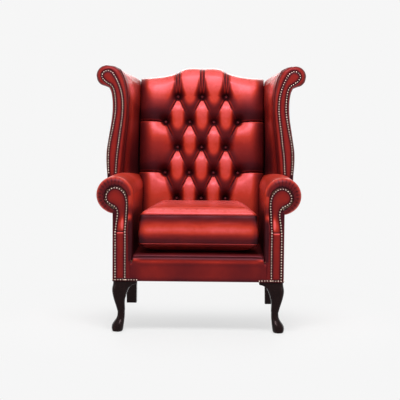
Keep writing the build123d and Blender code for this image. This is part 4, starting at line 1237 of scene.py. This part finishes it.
def make_piping(mesh, seams):
    """Two loops of piping, laid on the cushion where its panels meet."""
    surface = BVHTree.FromPolygons([v.co for v in mesh.vertices], [p.vertices for p in mesh.polygons])
    welt = bpy.context.scene.chair_sizes.welt
    points, faces, first = [], [], 0
    for height, plan in seams:
        line = []
        for x, y in plan:
            start = metres([(x, y, height)])[0]
            centre = metres([(*CUSHION_MIDDLE, height)])[0]
            way = Vector(start - centre).normalized()
            hit = surface.ray_cast(Vector(start) + way * 0.08, -way)[0]
            line.append(Vector(hit) + way * welt * 0.35 if hit else Vector(start))
        line = np.array(line)
        for _ in range(3):
            line = (np.roll(line, 1, 0) + 2 * line + np.roll(line, -1, 0)) / 4
        run = np.roll(line, -1, 0) - np.roll(line, 1, 0)
        run /= np.linalg.norm(run, axis=1)[:, None]
        up = np.array((0, 0, 1.0))
        out = np.cross(run, up)
        for centre, sideways in zip(line, out):
            for i in range(10):
                turn = 2 * math.pi * i / 10
                points.append(centre + welt * (math.cos(turn) * sideways + math.sin(turn) * up))
        around, rings = 10, len(line)
        for ring in range(rings):
            after = (ring + 1) % rings
            for i in range(around):
                j = (i + 1) % around
                faces.append((first + ring * around + i, first + ring * around + j,
                              first + after * around + j, first + after * around + i))
        first = len(points)
    world = np.array(points) - (0, front_y, 0)
    make_piece("seat_piping", world * 1000, faces, 0.5, ["cushion_piping"], body="seat_cushion", crisp=80)


# Legs
FOOT = [(92, 288, 312), (84, 285.5, 314), (72, 285, 314), (58, 285.2, 315.5), (50, 285.8, 318.5), (42, 286.6, 324),
        (34, 287, 330), (25, 288.3, 335), (14, 289.5, 336), (5, 291.5, 334.5), (0.4, 295, 331.5)]
TOES = (-math.pi / 4, -math.pi / 4 - 1.15, -math.pi / 4 + 1.15, 3 * math.pi / 4)


def make_leg(side, name):
    """Front leg: the frame's leg with a foot that runs out to its toe, carved smooth."""
    ankle = 0.08
    work = bmesh.new()
    work.from_mesh(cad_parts["front_leg_" + name].data)
    bmesh.ops.remove_doubles(work, verts=work.verts, dist=MERGE)
    cut = bmesh.ops.bisect_plane(work, geom=work.verts[:] + work.edges[:] + work.faces[:], plane_co=(0, 0, ankle),
                                 plane_no=(0, 0, 1), clear_inner=True)
    bmesh.ops.holes_fill(work, edges=[item for item in cut["geom_cut"] if isinstance(item, bmesh.types.BMEdge)])
    turn = np.linspace(0, 2 * math.pi, 65)[:-1]
    toes = sum(bell((turn - toe + math.pi) % (2 * math.pi) - math.pi, 0.26) for toe in TOES)
    foot = []
    for z, low, high in FOOT:
        half, middle = (high - low) / 2, (high + low) / 2
        size = half * (1 + 0.1 * step(66, 40, z) * (toes - 0.14))
        foot.append(np.column_stack([middle + size * np.cos(turn), SIDE - middle + size * np.sin(turn),
                                     np.full(len(turn), z)]))
    corners = [work.verts.new(place) for place in metres(np.vstack(foot) * (side, 1, 1))]
    for face in ring_faces(len(foot), len(turn)):
        work.faces.new([corners[i] for i in face])
    bmesh.ops.recalc_face_normals(work, faces=work.faces)
    mesh = bpy.data.meshes.new("carved")
    work.to_mesh(mesh)
    work.free()
    carved = modified(mesh, remesh(0.0019), ("CORRECTIVE_SMOOTH", {
        "iterations": 9, "smooth_type": "SIMPLE", "rest_source": "ORCO", "use_only_smooth": True}))
    place_piece("cabriole_leg_" + name, carved, "dark_mahogany", ["front_leg_" + name], crisp=80)


# Stage
def make_stage():
    """Pale floor that fades into the backdrop, plain ambient light and four soft lamps."""
    scene = bpy.context.scene
    floor_mesh = bpy.data.meshes.new("floor")
    half = 14.0
    corners = [(-half, -half, 0), (half, -half, 0), (half, half, 0), (-half, half, 0)]
    floor_mesh.from_pydata(corners, [], [(0, 1, 2, 3)])
    floor = bpy.data.objects.new("floor", floor_mesh)
    scene.collection.objects.link(floor)
    material, surface, node, link = shader("pale_floor")
    surface.inputs["Base Color"].default_value = (0.86, 0.86, 0.86, 1)
    surface.inputs["Roughness"].default_value = 0.6
    surface.inputs["Specular IOR Level"].default_value = 0.1
    glow = node("Emission", Strength=1.0)
    glow.inputs["Color"].default_value = (*BACKDROP, 1)
    place = node("TexCoord").outputs["Object"]
    spread = node("VectorMath", operation="LENGTH")
    link(place, spread.inputs[0])
    parts = node("SeparateXYZ")
    link(place, parts.inputs[0])
    fades = []
    for value, near, far, least, most in ((spread.outputs["Value"], 0.5, 1.1, 0.7, 1.0),
                                          (parts.outputs["Y"], -0.3, 0.36, 0.7, 0.97)):
        fade = node("MapRange", interpolation_type="SMOOTHSTEP")
        for socket, number in zip(("From Min", "From Max", "To Min", "To Max"), (near, far, least, most)):
            fade.inputs[socket].default_value = number
        link(value, fade.inputs["Value"])
        fades.append(fade.outputs[0])
    path = node("LightPath")
    seen = mathed(node, link, "MAXIMUM", path.outputs["Is Camera Ray"],
                  mathed(node, link, "MAXIMUM", path.outputs["Is Glossy Ray"], path.outputs["Is Transmission Ray"]))
    share = mathed(node, link, "MULTIPLY", mathed(node, link, "MAXIMUM", *fades), seen)
    mix = node("MixShader")
    link(share, mix.inputs[0])
    link(surface.outputs[0], mix.inputs[1])
    link(glow.outputs[0], mix.inputs[2])
    link(mix.outputs[0], material.node_tree.nodes["Material Output"].inputs["Surface"])
    floor_mesh.materials.append(material)

    world = bpy.data.worlds.new("studio")
    scene.world = world
    world.use_nodes = True
    tree = world.node_tree
    tree.nodes.clear()
    link = tree.links.new
    seen, plain, mix, out, path, rays, either = (tree.nodes.new("ShaderNode" + kind) for kind in (
        "Background", "Background", "MixShader", "OutputWorld", "LightPath", "Math", "Math"))
    seen.inputs[0].default_value = (*BACKDROP, 1)
    plain.inputs[0].default_value = (1, 1, 1, 1)
    plain.inputs[1].default_value = 0.2
    rays.operation = either.operation = "MAXIMUM"
    link(path.outputs["Is Glossy Ray"], rays.inputs[0])
    link(path.outputs["Is Transmission Ray"], rays.inputs[1])
    link(path.outputs["Is Camera Ray"], either.inputs[0])
    link(rays.outputs[0], either.inputs[1])
    link(either.outputs[0], mix.inputs[0])
    link(plain.outputs[0], mix.inputs[1])
    link(seen.outputs[0], mix.inputs[2])
    link(mix.outputs[0], out.inputs["Surface"])

    for name, place, aim, size, power in (
            ("key", (0.0, -1.75, 3.25), (0, 0, 0.7), (1.9, 1.0), 104),
            ("left_fill", (-2.7, -1.6, 1.5), (0, 0, 0.6), (0.9, 2.0), 11),
            ("right_fill", (2.7, -1.6, 1.5), (0, 0, 0.6), (0.9, 2.0), 11),
            ("rear_fill", (0.0, 2.8, 2.4), (0, 0, 0.6), (2.4, 1.2), 55)):
        lamp = bpy.data.lights.new(name, "AREA")
        lamp.shape = "RECTANGLE"
        lamp.size, lamp.size_y = size
        lamp.energy = power
        holder = bpy.data.objects.new(name, lamp)
        holder.location = place
        holder.rotation_euler = (Vector(aim) - Vector(place)).to_track_quat("-Z", "Y").to_euler()
        scene.collection.objects.link(holder)
    scene.view_settings.view_transform = "Standard"


def make_camera():
    """Camera where the photograph was taken from."""
    lens = bpy.data.cameras.new("camera")
    lens.lens = 93.93
    lens.sensor_width = 36
    camera = bpy.data.objects.new("camera", lens)
    camera.location = (0.075, -4.3976, 0.8024)
    turn = Euler((0, 0, math.radians(0.995))).to_matrix() @ Euler((math.radians(90 - 4.08), 0, 0)).to_matrix()
    turn = turn @ Euler((0, 0, math.radians(0.44))).to_matrix()
    camera.rotation_euler = turn.to_euler()
    bpy.context.scene.collection.objects.link(camera)
    bpy.context.scene.camera = camera


# Operators
class CHAIR_OT_camera(bpy.types.Operator):
    """Place the camera at the photograph's viewing angle"""
    bl_idname = "chair.camera"
    bl_label = "Camera"

    def execute(self, context):
        make_camera()
        return {"FINISHED"}


class CHAIR_OT_finishes(bpy.types.Operator):
    """Make the finishes and put them on the frame's own pieces"""
    bl_idname = "chair.finishes"
    bl_label = "Finishes"

    def execute(self, context):
        finish = context.scene.chair_finish
        timber = tuple(finish.timber)
        slots = {
            "leather": hide_finish("rubbed_hide"),
            "mahogany": timber_finish("dark_mahogany", tuple(0.5 * part for part in timber),
                                      tuple(1.9 * part for part in timber), 0.16),
            "nails": metal_finish("aged_brass", tuple(finish.nail), 0.2),
            "beech": timber_finish("sawn_beech", (0.42, 0.26, 0.14), (0.6, 0.41, 0.25), 0.6),
            "spring_steel": metal_finish("spring_steel", (0.5, 0.5, 0.52), 0.35),
            "webbing": cloth_finish("jute_webbing", (0.42, 0.3, 0.17), 0.0025),
            "dust_cloth": cloth_finish("lining_cloth", (0.022, 0.022, 0.024), 0.0012),
            "filling": cloth_finish("cushion_case", (0.72, 0.7, 0.66), 0.001),
        }
        groups = {
            "beech": ("rail", "post_left", "post_right", "board", "corner_blocks", "dowels"),
            "mahogany": ("_leg_",), "spring_steel": ("springs", "clips"), "webbing": ("webbing",),
            "dust_cloth": ("dust_cover",), "filling": ("core",), "nails": ("nails",),
        }
        for name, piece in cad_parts.items():
            slot = next((key for key, words in groups.items() if any(word in name for word in words)), "leather")
            piece.data.materials.clear()
            piece.data.materials.append(slots[slot])
        return {"FINISHED"}


class CHAIR_OT_back(bpy.types.Operator):
    """Make the deep-buttoned back, its buttons and the outside back panel"""
    bl_idname = "chair.back"
    bl_label = "Buttoned back"

    def execute(self, context):
        make_back()
        make_back_panel()
        return {"FINISHED"}


class CHAIR_OT_wings(bpy.types.Operator):
    """Make both scrolled wings with their facings, nails and outside panels"""
    bl_idname = "chair.wings"
    bl_label = "Wings"

    def execute(self, context):
        make_wing(1, "right")
        make_wing(-1, "left")
        return {"FINISHED"}


class CHAIR_OT_arms(bpy.types.Operator):
    """Make both rolled arms with their facings, nails and outside panels"""
    bl_idname = "chair.arms"
    bl_label = "Arms"

    def execute(self, context):
        make_arm(1, "right")
        make_arm(-1, "left")
        return {"FINISHED"}


class CHAIR_OT_seat(bpy.types.Operator):
    """Make the front border, the deck, the loose cushion and its piping"""
    bl_idname = "chair.seat"
    bl_label = "Seat"

    def execute(self, context):
        make_border()
        make_deck()
        make_cushion()
        return {"FINISHED"}


class CHAIR_OT_legs(bpy.types.Operator):
    """Carve the cabriole front legs"""
    bl_idname = "chair.legs"
    bl_label = "Legs"

    def execute(self, context):
        make_leg(1, "right")
        make_leg(-1, "left")
        return {"FINISHED"}


class CHAIR_OT_stage(bpy.types.Operator):
    """Make the floor, the backdrop and the studio lights"""
    bl_idname = "chair.stage"
    bl_label = "Stage"

    def execute(self, context):
        make_stage()
        return {"FINISHED"}


STEPS = ("camera", "finishes", "back", "wings", "arms", "seat", "legs", "stage")


class CHAIR_PT_panel(bpy.types.Panel):
    """Sizes, colours and pieces of the armchair"""
    bl_label = "Armchair"
    bl_idname = "CHAIR_PT_panel"
    bl_space_type = "VIEW_3D"
    bl_region_type = "UI"
    bl_category = "Armchair"

    def draw(self, context):
        for group in (context.scene.chair_finish, context.scene.chair_sizes):
            for name in group.__annotations__:
                self.layout.prop(group, name)
        for name in STEPS:
            self.layout.operator("chair." + name)


CLASSES = (ChairFinish, ChairSizes, CHAIR_OT_camera, CHAIR_OT_finishes, CHAIR_OT_back, CHAIR_OT_wings, CHAIR_OT_arms,
           CHAIR_OT_seat, CHAIR_OT_legs, CHAIR_OT_stage, CHAIR_PT_panel)


def register():
    for kind in CLASSES:
        bpy.utils.register_class(kind)
    bpy.types.Scene.chair_finish = bpy.props.PointerProperty(type=ChairFinish)
    bpy.types.Scene.chair_sizes = bpy.props.PointerProperty(type=ChairSizes)


def unregister():
    del bpy.types.Scene.chair_sizes
    del bpy.types.Scene.chair_finish
    for kind in reversed(CLASSES):
        bpy.utils.unregister_class(kind)


def main():
    register()
    for name in STEPS:
        getattr(bpy.ops.chair, name)()


if __name__ == "__main__":
    main()
